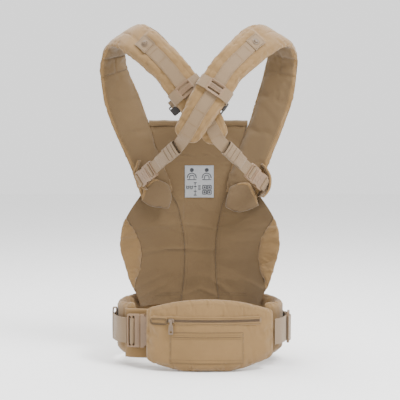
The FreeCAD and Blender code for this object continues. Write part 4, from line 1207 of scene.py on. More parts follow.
def make_panel():
    thick = 4.0
    centre = panel_grid(98, 397.6, lambda z: -centre_seam(z, -1), lambda z: centre_seam(z, 1))
    panel_piece("panel_centre_lining", "panel_centre", "lining_cloth", centre, thick, False, True)
    panel_piece("panel_centre_back", None, "outer_cloth", centre, thick, True, True)
    thread, seams = Solid(), Solid()
    for side, sign in (("left", -1), ("right", 1)):
        grid = panel_grid(98, 337, lambda z: centre_seam(z, sign) - 0.4, outer_edge, side=sign)
        panel_piece(f"panel_side_lining_{side}", f"panel_side_{side}", "lining_cloth", grid, thick, False,
                    True)
        panel_piece(f"panel_side_back_{side}", None, "outer_cloth", grid, thick, True, True)
        for offset in (3.2, 8.0):
            z = np.linspace(101, 327, 110)
            line = along_panel(True, sign * (centre_seam(z, sign) + offset), z, thick - 0.35)
            add_stitches(thread, line, FRONT)
            back = line + vec(0, 2 * (thick - 0.35), 0)
            add_stitches(thread, back, -FRONT)
        z = np.linspace(331, 392, 40)
        line = along_panel(True, sign * (centre_seam(z, sign) - 5.0), z, thick - 0.3)
        add_stitches(thread, line, FRONT)
        x = np.linspace(38, 97, 40) * sign
        for z0 in (115.0, 119.5):
            line = along_panel(True, x, np.full(40, z0) + 0.05 * (np.abs(x) - 38), thick - 0.3)
            add_tube(seams, line, 0.65, 6)
        for z0 in (289.0, 295.0):
            x = np.linspace(48, 76, 24) * sign
            line = along_panel(True, x, np.full(24, z0) - (0 if side == "left" else 4), thick - 0.3)
            add_stitches(thread, line, FRONT)
        z = np.linspace(101, 326, 110)
        add_tube(seams, along_panel(True, sign * centre_seam(z, sign), z, thick - 0.1), 0.8, 6)
        z = np.linspace(130, 279, 80)
        add_tube(seams, along_panel(True, sign * (outer_edge(z) - 0.8), z, thick - 0.4), 0.9, 6)
        leg_pad(side, sign)
    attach(thread.piece("panel_stitches", "thread_dark", "lining_cloth"), "carrier")
    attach(seams.piece("panel_seams", "thread_dark", "lining_cloth"), "carrier")
    for name, material, way in (("fold_lining", "lining_cloth", -1), ("fold_back", "outer_cloth", 1)):
        z = np.linspace(389, 409, 22)[:, None]
        t = np.linspace(0, 1, 60)[None]
        x = -centre_seam(z, -1) + 0.6 + (centre_seam(z, -1) + centre_seam(z, 1) - 1.2) * t
        grid = panel_point(x, z + 0 * x)
        lift = 4.3 + 2.3 * np.clip((z - 394) / 12, 0, 1) ** 1.2
        grid[..., 1] += way * lift
        normals = np.tile(vec(0, way, 0), grid.shape[:2] + (1,))
        strip = add_sheet(Solid(), grid, 0.9, normals).piece(f"headrest_{name}", material, material)
        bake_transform(strip)


def outer_edge(z):
    """Where a panel side ends: at the leg pad's seam, or at its own edge above and below it."""
    return np.where((z > 120) & (z < 284), np.minimum(leg_seam(z), panel_edge(z)), panel_edge(z))


def leg_pad(side, sign):
    """Padded crescent along the leg opening, with a piped seam."""
    z = np.linspace(128, 281, 56)[:, None]
    ends = np.clip((z - 128) / 26, 0, 1) * np.clip((281 - z) / 20, 0, 1)
    start = outer_edge(z) - 1.2
    end = np.maximum(panel_edge(z) + 2.0 * np.sqrt(ends), start + 1.6)
    ring = pad_ring(28, 1.0, 1.0, flat=3.2, round_=2.2)
    u, out = ring[None, :, 0], ring[None, :, 1]
    x = (start + end) / 2 + (end - start) / 2 * u
    base = panel_point(x * sign, z + 0 * x, 0.0)
    depth = 4.2 + 3.2 * np.sqrt(np.clip(ends, 0, 1))
    base[..., 1] -= out * depth
    held = np.zeros(base.shape[:2], bool)
    held[:, 0] = held[:, 14] = True
    held[[0, 1, -2, -1]] = True
    grid = relax(base, held, cap=2.2)
    fine = refine(grid, 2, 2, closed=True)
    n = grid_normals(fine, closed=True)
    n = n * np.sign(((fine - fine.mean(1, keepdims=True)) * n).sum(-1).mean())
    s = arc_length(fine.mean(1))[:, None]
    angle = np.arange(fine.shape[1])[None] / fine.shape[1]
    height = value_noise(s / 24, angle * 9, 41 + sign) * 0.6 + value_noise(s / 6, angle * 6, 43) * 0.25
    height -= ridged(s / 15, angle * 3 + 1, 44 + sign) * 0.7
    fine = fine + n * height[..., None]
    pad = add_closed(Solid(), fine).piece(f"leg_pad_cloth_{side}", "outer_cloth", "outer_cloth")
    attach(pad, "carrier")
    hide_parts(f"leg_pad_{side}")
    z = np.linspace(131, 279, 90)
    thread = Solid()
    for off in (-3.0,):
        line = along_panel(True, sign * (np.minimum(leg_seam(z), panel_edge(z)) + off), z, 3.7)
        add_stitches(thread, line, FRONT)
    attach(thread.piece(f"leg_stitches_{side}", "thread", "lining_cloth"), "carrier")


def make_headrest():
    """Padded headrest with a folded hem along its top, turning at the stitched fold line."""
    rows, cols = 26, 46
    ring = pad_ring(2 * rows, 1.0, 1.0, flat=6, round_=3)
    t = np.linspace(-1, 1, cols)
    ends = np.sqrt(1 - np.clip((np.abs(t) - 0.93) / 0.08, 0, 1) ** 2) * 0.85 + 0.15
    z = 439.2 + 40.6 * ring[None, :, 0] * (0.6 + 0.4 * ends[:, None])
    x = t[:, None] * (centre_half(z) - 0.3) - centre_lean(z)
    base = panel_point(x, z)
    base[..., 1] -= ring[None, :, 1] * 6.3 * ends[:, None]
    held = np.zeros(base.shape[:2], bool)
    held[[0, -1]] = True
    held[:, 0] = held[:, rows] = True
    grid = refine(relax(base, held, cap=1.8), 2, 2, closed=True)
    n = grid_normals(grid, closed=True)
    n = n * np.sign(((grid - grid.mean(1, keepdims=True)) * n).sum(-1).mean())
    x, z = grid[..., 0], grid[..., 2]
    height = value_noise(x / 26, z / 18, 51) * 0.8 - ridged((z + 0.5 * np.abs(x)) / 22, x / 60, 52) * 0.9
    height -= bell(z - 470, 1.4) * 0.9
    grid = grid + n * height[..., None]
    pad = add_closed(Solid(), grid).piece("headrest_cloth", "lining_cloth", "lining_cloth")
    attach(pad, "headrest")
    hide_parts("headrest_cover", "headrest_foam")
    hem_x = np.linspace(-105.2, 98.2, 90)
    profile = [(-7.3, 470.5), (-7.6, 475), (-6.6, 479), (-3, 481.4), (0, 481.8), (3, 481.4), (6.6, 479),
               (7.6, 475),
               (7.3, 470.5)]
    profile = resample(vec(*profile), 21)
    hem = np.array([[panel_point(x, z)[()] + vec(0, y, 0) for y, z in profile] for x in hem_x])
    hem[..., 2] += (0.5 * value_noise(hem_x / 15, 0 * hem_x, 53))[:, None]
    piece = add_sheet(Solid(), hem, 1.0).piece("headrest_hem", "lining_cloth", "lining_cloth")
    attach(piece, "headrest")
    thread = Solid()
    for z0, y in ((473.2, -7.9), (466.5, -7.0)):
        x = np.linspace(-1, 1, 90) * (centre_half(z0) - 5) - centre_lean(z0)
        line = panel_point(x, np.full(90, z0)) + vec(0, y, 0)
        add_stitches(thread, line, FRONT)
    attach(thread.piece("headrest_stitches", "thread", "lining_cloth"), "headrest")


# ---- care label --------------------------------------------------------------------------------------------
def make_label():
    """Sewn label with generic care and wearing pictograms, without lettering."""
    x, z = np.meshgrid(np.linspace(-31.5, 28.5, 20), np.linspace(321, 388, 20))
    curl = 0.6 * bell(np.hypot(x - 28.5, z - 321), 9) + 0.5 * bell(np.hypot(x + 31.5, z - 388), 9)
    lift = 5.6 + curl
    def on_label(x, z, above=0.0):
        where = np.asarray(x, float), np.asarray(z, float)
        return panel_point(where[0], where[1], 5.6 + above)
    face = panel_point(x, z, lift)
    patch = add_sheet(Solid(), face, 0.6, np.tile(vec(0, -1, 0), face.shape[:2] + (1,)))
    patch = patch.piece("care_label_cloth", "label", "label")
    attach(patch, "carrier")
    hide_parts("care_label")
    print_ = Solid()

    def stroke(points, width=0.5):
        pts = resample(vec(*points), 14) if len(points) > 2 else vec(*points)
        pts = np.array(pts, float)
        add_tube(print_, on_label(pts[:, 0], pts[:, 1], 0.0), width, 6)

    def disc(cx, cz, r):
        t = np.linspace(0, 2 * math.pi, 18)
        for k in np.arange(0.35, r, 0.7):
            stroke([(cx + k * math.cos(a), cz + k * math.sin(a)) for a in t], 0.42)

    for cx in (-17.0, 14.0):
        disc(cx, 378.5, 4.4)
        stroke([(cx - 9.5, 362), (cx - 7, 369), (cx, 372), (cx + 7, 369), (cx + 9.5, 362)], 0.9)
        stroke([(cx - 5, 360), (cx - 4, 366), (cx, 367.5), (cx + 4, 366), (cx + 5, 360)], 0.8)
        stroke([(cx - 9.5, 358.5), (cx + 9.5, 358.5)], 0.8)
    for k, cx in enumerate((-25.5, -18.0)):
        stroke([(cx - 2.4, 346), (cx - 2, 340), (cx + 2, 340), (cx + 2.4, 346)], 0.8)
        stroke([(cx - 2.4, 343.5), (cx + 2.4, 343.5)], 0.8)
    stroke([(-10, 326), (-10, 352)], 0.8)
    for z0 in (326, 334, 344, 352):
        stroke([(-13, z0), (-7, z0)], 0.9)
    for k in range(4):
        stroke([(-4.0, 346 - 2.8 * k), (1.5, 346 - 2.8 * k)], 0.7)
    for cx, cz, w in ((9.5, 332, 3.9), (19.5, 332, 3.9), (9.5, 342.5, 3.9), (19.5, 342.5, 3.9)):
        corners = [(cx - w, cz - w), (cx + w, cz - w), (cx + w, cz + w), (cx - w, cz + w)]
        for k in range(4):
            stroke([corners[k], corners[(k + 1) % 4]], 0.9)
        disc(cx, cz, 2.1)
    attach(print_.piece("label_print", "ink", "label"), "carrier")
    border = Solid()
    ring = [(-30, 322.5), (27, 322.5), (27, 386.5), (-30, 386.5), (-30, 322.5)]
    for (x0, z0), (x1, z1) in zip(ring, ring[1:]):
        t = np.linspace(0, 1, 30)
        line = on_label(x0 + (x1 - x0) * t, z0 + (z1 - z0) * t)
        add_stitches(border, line, FRONT, pitch=3.0, length=2.0, radius=0.25)
    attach(border.piece("label_stitches", "label", "label"), "carrier")


# ---- shoulder tabs -----------------------------------------------------------------------------------------
TAB_BORDER = {
    "left": {
        "left": [(-123, 318), (-118, 330), (-111.7, 341)], "top": [(-111.7, 341), (-103, 352), (-91, 360),
                                                                   (-65.4, 350)],
        "right": [(-64, 300), (-58, 325), (-65.4, 350)], "bottom": [(-123, 318), (-99, 304.5), (-64, 300)],
    },
    "right": {
        "left": [(-123.5, 308), (-113, 332), (-100, 351)], "top": [(-100, 351), (-82, 352), (-62.4, 345)],
        "right": [(-51, 303), (-55, 325), (-62.4, 345)], "bottom": [(-123.5, 308), (-100, 297),
                                                                    (-76.5, 293), (-51, 303)],
    },
}


def make_tab(side):
    """Padded flap over the strap's root, its upper edge rolled over."""
    sign = 1 if side == "left" else -1
    border = TAB_BORDER[side]
    flat = {key: np.array([(x, 0, z) for x, z in value], float) for key, value in border.items()}
    mid = coons(flat["left"], flat["right"], flat["bottom"], flat["top"], 26, 34)
    bulge = border_distance(mid)
    mid[..., 1] = 59.0
    turn = math.radians(22.4)
    px, py = mid[..., 0] + 90, mid[..., 1] - 61
    mid[..., 0] = -90 + px * math.cos(turn) - py * math.sin(turn)
    mid[..., 1] = 61 + px * math.sin(turn) + py * math.cos(turn)
    x, z = mid[..., 0], mid[..., 2]
    fall = roll_off(bulge[0], 10) * roll_off(bulge[1], 10)
    folds = ridged((x + z) / 26, (x - z) / 60 + 3, 61) * 1.6
    mid[..., 1] -= fall * (3.0 + value_noise(x / 22, z / 18, 62)) - folds * fall
    mid = refine(mid, 2, 2)
    mid[..., 0] *= sign
    solid = Solid()
    top, low = add_pillow(solid, mid, 2.6, 2.6, radius=4.0, rim=1.0)
    tab = solid.piece(f"tab_cloth_{side}", "tab_cloth", "lining_cloth")
    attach(tab, "carrier")
    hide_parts(f"shoulder_tab_{side}")
    face = top if top[..., 1].mean() < low[..., 1].mean() else low
    roll = Solid()
    rim = resample(np.concatenate([face[4:-4, 2], face[-3, 3:face.shape[1] * 5 // 8]]) + vec(0, 1.0, 0), 60)
    swell = 3.6 + 0.6 * value_noise(np.arange(len(rim)) / 7.0, np.zeros(len(rim)), 63)
    add_tube(roll, rim, swell
             * np.sqrt(np.clip(np.sin(np.linspace(0.12, math.pi - 0.12, len(rim))), 0.05, 1)), 14)
    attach(roll.piece(f"tab_roll_{side}", "outer_cloth", "outer_cloth"), "carrier")
    thread = Solid()
    add_stitches(thread, face[3], FRONT)
    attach(thread.piece(f"tab_stitches_{side}", "thread_dark", "lining_cloth"), "carrier")
    tack = Solid()
    c = face[2, face.shape[1] // 2 + 10] + vec(0, -0.6, 0)
    line = np.array([c + vec(x, 0, 0) for x in np.linspace(-6, 6, 16)])
    add_stitches(tack, line, FRONT, pitch=1.1, length=0.9, radius=0.9)
    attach(tack.piece(f"tab_tack_{side}", "thread_dark", "lining_cloth"), "carrier")


# ---- belt --------------------------------------------------------------------------------------------------
def belt_levels(x):
    x = np.abs(x)
    low = 32 * np.clip((x - 75) / 96, 0, 1) ** 2 * 0.7 + 9.6 * np.clip((x - 75) / 96, 0, 1)
    return low, 119 + 11 * (1 - (np.minimum(x, 171) / 171) ** 2)


def make_belt():
    """The C-shaped padded belt with its quilted channels."""
    a, front, back, thick = 166 - 7.0, 133 - 7.0, 98 - 7.0, 7.0
    sweep = math.acos(133 / 166.0)
    t = np.linspace(-sweep, math.pi + sweep, 116)
    b = np.where((t > 0) & (t < math.pi), front, back)
    centre = np.stack([a * np.cos(t), b * np.sin(t), 0 * t], -1)
    s = arc_length(centre)
    t = np.interp(np.linspace(0, s[-1], 116), s, t)
    b = np.where((t > 0) & (t < math.pi), front, back)
    centre = np.stack([a * np.cos(t), b * np.sin(t), 0 * t], -1)
    out = unit(np.stack([np.cos(t) / a, np.sin(t) / b, 0 * t], -1))
    low, high = belt_levels(centre[:, 0])
    s = arc_length(centre)
    end = np.clip(np.minimum(s, s[-1] - s) / 10.0, 0, 1)
    taper = 0.35 + 0.65 * np.sqrt(1 - (1 - end) ** 2)
    ring = pad_ring(52, 1.0, 1.0, flat=9, round_=2.6)
    half = (high - low) / 2 * (0.86 + 0.14 * taper)
    level = ((low + high) / 2)[:, None] + half[:, None] * ring[None, :, 0]
    base = centre[:, None] + out[:, None] * (thick * 0.94 * taper[:, None] * ring[None, :, 1])[..., None]
    base[..., 2] = level
    held = np.zeros(base.shape[:2], bool)
    held[:, 0] = held[:, 26] = True
    held[[0, 1, -2, -1]] = True
    held[:, (level[58] > 74) & (level[58] < 79)] = True
    grid = refine(relax(base, held, cap=1.6), 2, 2, closed=True)
    n = grid_normals(grid, closed=True)
    n = n * np.sign(((grid - grid.mean(1, keepdims=True)) * n).sum(-1).mean())
    s = arc_length(grid.mean(1))[:, None]
    z = grid[..., 2]
    height = value_noise(s / 32, z / 26, 71) * 0.7 + value_noise(s / 9, z / 12, 72) * 0.25
    edge = np.abs(ring_distance(grid.shape[1]))[None]
    groove = bell(edge - 0.16, 0.02) * 0.8
    height -= groove + ridged(s / 19, z / 60, 73) * 0.5
    height *= np.clip(np.minimum(s, s[-1] - s) / 6, 0, 1)
    grid = grid + n * height[..., None]
    grid[..., 2] = np.maximum(grid[..., 2], 0.0)
    belt = add_closed(Solid(), grid).piece("belt_cloth", "outer_cloth", "outer_cloth")
    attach(belt, "carrier")
    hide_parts("belt_cover", "belt_foam")
    thread = Solid()
    cols = grid.shape[1]
    for share in (0.08, 0.42, 0.58, 0.92):
        c = int(share * cols)
        add_stitches(thread, grid[4:-4, c], n[4:-4, c], lift=0.1)
    for r in (5, -6):
        keep = [j for j in range(cols) if 0.08 < (j / cols) % 0.5 < 0.42]
        for group in (keep[:len(keep) // 2], keep[len(keep) // 2:]):
            add_stitches(thread, grid[r, group], n[r, group])
    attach(thread.piece("belt_stitches", "thread", "outer_cloth"), "carrier")


def ring_distance(count):
    """Share of the way round from the nearer of a ring's two edges."""
    at = np.arange(count) / count
    return np.minimum(at % 0.5, 0.5 - at % 0.5)


# ---- lumbar pad --------------------------------------------------------------------------------------------
LUMBAR_X, LUMBAR_HALF, LUMBAR_R = 18.5, 123.5, 340.0
LUMBAR_Y = -129.0 + LUMBAR_R
ZIP_Z = 99.0


def lumbar_edges(x):
    d = (x - LUMBAR_X) / LUMBAR_HALF
    high = np.where(d < 0, 139 - 20 * d ** 2, 139 - 23 * d ** 2)
    left, right = np.clip((-18 - x) / 87, 0, 1), np.clip((x - 44) / 98, 0, 1)
    return 19 * left ** 1.7 + 27 * right ** 1.7, high


def lumbar_creases(x, z):
    soft = value_noise(x / 38, z / 26, 81) * 1.0 + value_noise(x / 14, z / 12, 82) * 0.35
    patch = np.clip((np.abs(x - 12.5) - 66) / 8, 0, 1) * np.clip((70 - np.abs(z - 47)) / 30, 0, 1)
    crumple = ridged((x + 0.6 * z) / 22, (x - z) / 45, 83) * patch
    hem = bell(z - (ZIP_Z + 8), 1.8) + bell(z - (ZIP_Z - 8), 1.8)
    return soft - 1.2 * crumple - 0.5 * hem - 1.4 * bell(z - ZIP_Z, 4)


def make_lumbar():
    rows, cols = 76, 52
    x = LUMBAR_X + LUMBAR_HALF * np.linspace(-1, 1, rows) * 0.995
    low, high = lumbar_edges(x)
    ring = pad_ring(cols, 1.0, 1.0, flat=7, round_=2.4)
    d = np.clip((LUMBAR_HALF - np.abs(x - LUMBAR_X)) / 14, 0, 1)
    end = 0.2 + 0.8 * np.sqrt(1 - (1 - d) ** 2)
    half = (high - low) / 2 * (0.9 + 0.1 * end)
    z = ((high + low) / 2)[:, None] + half[:, None] * ring[None, :, 0]
    angle = np.arcsin((x - LUMBAR_X) / LUMBAR_R)[:, None]
    inner_y = 572.0 - np.sqrt(675.0 ** 2 - (x - 18.5) ** 2)
    outer_y = LUMBAR_Y - LUMBAR_R * np.cos(angle[:, 0])
    half_deep = (inner_y - outer_y) / 2
    mid = LUMBAR_R - half_deep[:, None]
    out = ring[None, :, 1]
    radius = mid + half_deep[:, None] * out * end[:, None]
    base = np.stack([LUMBAR_X + radius * np.sin(angle), LUMBAR_Y - radius * np.cos(angle), z], -1)
    held = np.zeros(base.shape[:2], bool)
    held[:, 0] = held[:, cols // 2] = True
    held[[0, -1]] = True
    held |= (np.abs(z - ZIP_Z) < 5) & (out > 0.3)
    base = relax(base, held, cap=2.4)
    grid = refine(base, 2, 2, closed=True)
    n = grid_normals(grid, closed=True)
    n = n * np.sign(((grid - grid.mean(1, keepdims=True)) * n).sum(-1).mean())
    gx, gz = grid[..., 0], grid[..., 2]
    outside = np.clip(-n[..., 1] * 3, 0, 1)
    height = lumbar_creases(gx, gz) * (0.35 + 0.65 * outside)
    height *= np.clip((LUMBAR_HALF - np.abs(gx - LUMBAR_X)) / 8, 0, 1)
    grid = grid + n * height[..., None]
    grid[..., 2] = np.maximum(grid[..., 2], 0.0)
    pad = add_closed(Solid(), grid).piece("lumbar_cloth", "outer_cloth", "outer_cloth")
    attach(pad, "carrier")
    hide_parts("lumbar_cover", "lumbar_foam")
    return Face(grid, n, outside)


class Face:
    """Looks up points on the lumbar pad's outer face by x and z."""

    def __init__(self, grid, normals, outside):
        keep = outside > 0.4
        self.points, self.normals = grid[keep], normals[keep]
        self.flat = self.points[:, [0, 2]]
        tree = kdtree.KDTree(len(self.flat))
        for i, (x, z) in enumerate(self.flat):
            tree.insert((x, z, 0), i)
        tree.balance()
        self.tree = tree

    def at(self, x, z, lift=0.0):
        x, z = np.broadcast_arrays(np.asarray(x, float), np.asarray(z, float))
        shape = x.shape
        made, normals = [], []
        for px, pz in zip(x.ravel(), z.ravel()):
            found = self.tree.find_n((px, pz, 0), 8)
            near = [i for _, i, _ in found]
            w = np.array([1.0 / (dist + 0.4) ** 2 for _, _, dist in found])[:, None]
            y = (self.points[near, 1:2] * w).sum() / w.sum()
            n = unit((self.normals[near] * w).sum(0))
            made.append(vec(px, y, pz) + n * lift)
            normals.append(n)
        return np.array(made).reshape(shape + (3,)), np.array(normals).reshape(shape + (3,))


def on_arc(x, z, radius):
    """Points and normals on an upright arc round the zipper's own centre."""
    angle = np.arcsin((x - LUMBAR_X) / LUMBAR_R)
    n = np.stack([np.sin(angle), -np.cos(angle), 0 * x], -1)
    return vec(LUMBAR_X, LUMBAR_Y, 0) + n * radius + np.stack([0 * x, 0 * x, z], -1), n


def lumbar_strip(face, x0, x1, z0, z1, lift, columns=60, rows=6, radius=None):
    """A grid on the lumbar face; with a radius it follows the zipper's own arc instead."""
    x, z = np.meshgrid(np.linspace(x0, x1, columns), np.linspace(z0, z1, rows))
    if radius is None:
        return face.at(x, z, lift)
    return on_arc(x, z, radius + lift)


def make_zipper(face):
    """Coil zipper: tape, teeth, hems over its edges, garage at the closed end, slider and hanging pull."""
    tape, n = lumbar_strip(face, -92, 117, 93.5, 104.5, 0.5, radius=LUMBAR_R)
    tape = add_sheet(Solid(), tape, 0.8, n).piece("zip_tape", "webbing", "webbing")
    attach(tape, "carrier")
    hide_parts("zipper_tape")
    coil = Solid()
    for z in (98.1, 99.9):
        line, n = lumbar_strip(face, -61, 114, z, z, 1.0, 300, 1, LUMBAR_R)
        add_stitches(coil, line[0], n[0], pitch=1.5, length=1.15, radius=0.72)
    coil = coil.piece("zip_coil", "zip_teeth", "zip_teeth")
    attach(coil, "carrier")
    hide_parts("zipper_teeth")
    thread, flaps = Solid(), Solid()
    for z0, z1 in ((102.0, 107.5), (96.0, 90.5)):
        grid, n = lumbar_strip(face, -90, 115, z0, z1, 1.0, 80, 8, LUMBAR_R)
        t = np.linspace(0, 1, 8)[:, None]
        grid = grid + n * (1.3 * np.sqrt(1 - (2 * t * 0.9 - 0.8).clip(-1, 1) ** 2) - 0.6 * t)[..., None]
        add_sheet(flaps, grid, 1.4, n)
        for z in (z0 + (z1 - z0) * 0.45,):
            line, n = lumbar_strip(face, -89, 114, z, z, 2.3, 200, 1, LUMBAR_R)
            add_stitches(thread, line[0], n[0], pitch=3.0, length=2.1, radius=0.3)
    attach(flaps.piece("zip_hems", "outer_cloth", "outer_cloth"), "carrier")
    x, z = np.meshgrid(np.linspace(-94, -62, 26), np.linspace(92.3, 105.7, 14))
    mid, _ = on_arc(x, z, LUMBAR_R + 2.4)
    garage = Solid()
    top, _ = add_pillow(garage, refine(mid, 2, 2), 1.8, 1.0, radius=3.2, rim=0.6)
    garage = garage.piece("zip_garage", "outer_cloth", "outer_cloth")
    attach(garage, "carrier")
    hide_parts("zipper_garage")
    for shrink, lift, radius in ((0.0, 3.6, 0.9), (2.6, 4.5, 0.6)):
        ring = rounded(-94 + shrink, -62 - shrink, 91 + shrink, 103 - shrink, 5.6 - shrink, 8)
        x, z = np.array(list(ring) + [ring[0], ring[1]]).T
        outline, _ = on_arc(x, z, LUMBAR_R + lift)
        add_tube(thread, outline, radius, 6)
    for r in (4, -5):
        line = top[r, 4:-4] if top[..., 1].mean() < mid[..., 1].mean() else mid[0]
        add_stitches(thread, line, FRONT, pitch=2.6, length=1.9, radius=0.3)
    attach(thread.piece("zip_stitches", "thread_dark", "outer_cloth"), "carrier")

    angle = math.asin((-54.0 - LUMBAR_X) / LUMBAR_R)
    origin = vec(LUMBAR_X + LUMBAR_R * math.sin(angle), LUMBAR_Y - LUMBAR_R * math.cos(angle), ZIP_Z)
    f = Place(origin, (math.cos(angle), math.sin(angle), 0), (0, 0, 1))
    s = Solid()
    outline = [(-5.5, -2.2), (-3.5, -4.2), (2.5, -4.2), (5.5, -2.6), (5.5, 2.6), (2.5, 4.2), (-3.5, 4.2),
               (-5.5, 2.2)]
    add_plate(s, f, outline, 1.8, 4.3, 0.6)
    for a in (-4.5, 2.9):
        add_plate(s, f, rounded(a, a + 1.6, -1.2, 1.2, 0.4), 4.0, 7.5, 0.3)
    add_tube(s, [f.at(a, 0, 6.6) for a in (-4.5, 0, 4.5)], 0.9, 10)
    slider = s.piece("zip_slider_body", "zip_metal", "zip_metal")
    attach(slider, "zip_slider")
    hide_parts("zipper_slider")
    s = Solid()
    outline = [(-2.3, -1.2), (-2.3, -6.5), (-4.2, -9), (-4.7, -23), (-3.6, -26), (3.6, -26), (4.7, -23),
               (4.2, -9),
               (2.3, -6.5), (2.3, -1.2)]
    add_plate(s, f, outline, 5.8, 7.4, 0.5, [rounded(-2.6, 2.6, -23, -19, 1.8)])
    for k in range(5):
        add_plate(s, f, rounded(-3.2, 3.2, -17.2 + 1.7 * k, -16.4 + 1.7 * k, 0.3), 7.2, 7.8, 0.2)
    knuckle = [f.at(-2.5, 1.45 * math.cos(t), 6.6 + 1.45 * math.sin(t))
               for t in np.linspace(0, 2 * math.pi, 14)]
    ring = np.array(knuckle)[None] + np.linspace(0, 5, 6)[:, None, None] * f.a
    add_sheet(s, ring, 0.4)
    pull = s.piece("zip_pull_tab", "zip_metal", "zip_metal")
    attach(pull, "zip_pull")
    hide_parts("zipper_pull")


def make_patch(face):
    """Front of the zip pocket, sewn on round its edge and across its top and bottom hems."""
    grid, n = lumbar_strip(face, -57, 82, 17, 77, 1.0, 70, 34)
    wrinkle = value_noise(grid[..., 0] / 30, grid[..., 2] / 9, 91) * 0.35
    rows_d, cols_d = border_distance(grid)
    edge = bell(np.minimum(rows_d, cols_d), 1.3) * 0.7
    grid = grid + n * (wrinkle - edge)[..., None]
    patch = add_sheet(Solid(), grid, 0.9, n).piece("pocket_patch_cloth", "outer_cloth", "outer_cloth")
    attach(patch, "carrier")
    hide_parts("pocket_patch")
    thread = Solid()
    for r in (1, 4, -2, -4, -8):
        add_stitches(thread, grid[r, 1:-1], n[r, 1:-1], pitch=2.8, length=2.0, radius=0.3)
    for c in (1, -2):
        add_stitches(thread, grid[1:-1, c], n[1:-1, c], pitch=2.8, length=2.0, radius=0.3)
    around = [grid[0] - n[0] * 0.2, grid[:, -1] - n[:, -1] * 0.2, grid[-1] - n[-1] * 0.2,
              grid[:, 0] - n[:, 0] * 0.2]
    for line in around + [grid[-6, 2:-2] + n[-6, 2:-2] * 0.3]:
        add_tube(thread, line, 0.55, 6)
    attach(thread.piece("pocket_stitches", "thread_dark", "outer_cloth"), "carrier")
    thread = Solid()
    for x0, x1, z0, z1 in ((-99, -99, 26, 118), (136, 136, 34, 112)):
        line, n = face.at(np.linspace(x0, x1, 50), np.linspace(z0, z1, 50))
        add_stitches(thread, line, n)
    x = np.linspace(-97, 134, 150)
    low, high = lumbar_edges(x)
    for z in (low + 8, high - 8):
        line, n = face.at(x, z)
        add_stitches(thread, line, n)
    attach(thread.piece("lumbar_stitches", "thread", "outer_cloth"), "carrier")


# ---- waist webbing and hardware ----------------------------------------------------------------------------
WAIST_WEB, WAIST_THICK, WAIST_Z = 50.0, 2.2, 72.0


def upright(solid, path, z, width, thick, count=60, sway=0.0):
    """A strip standing on edge along a plan path."""
    pts = resample(np.array([(x, y, z) for x, y in path], float), count)
    tilt = sway * np.sin(np.linspace(0, 2.2 * math.pi, count))
    across = np.stack([0 * tilt + tilt * 0.3, tilt, np.ones(count)], -1)
    return add_ribbon(solid, pts, across, width, thick)


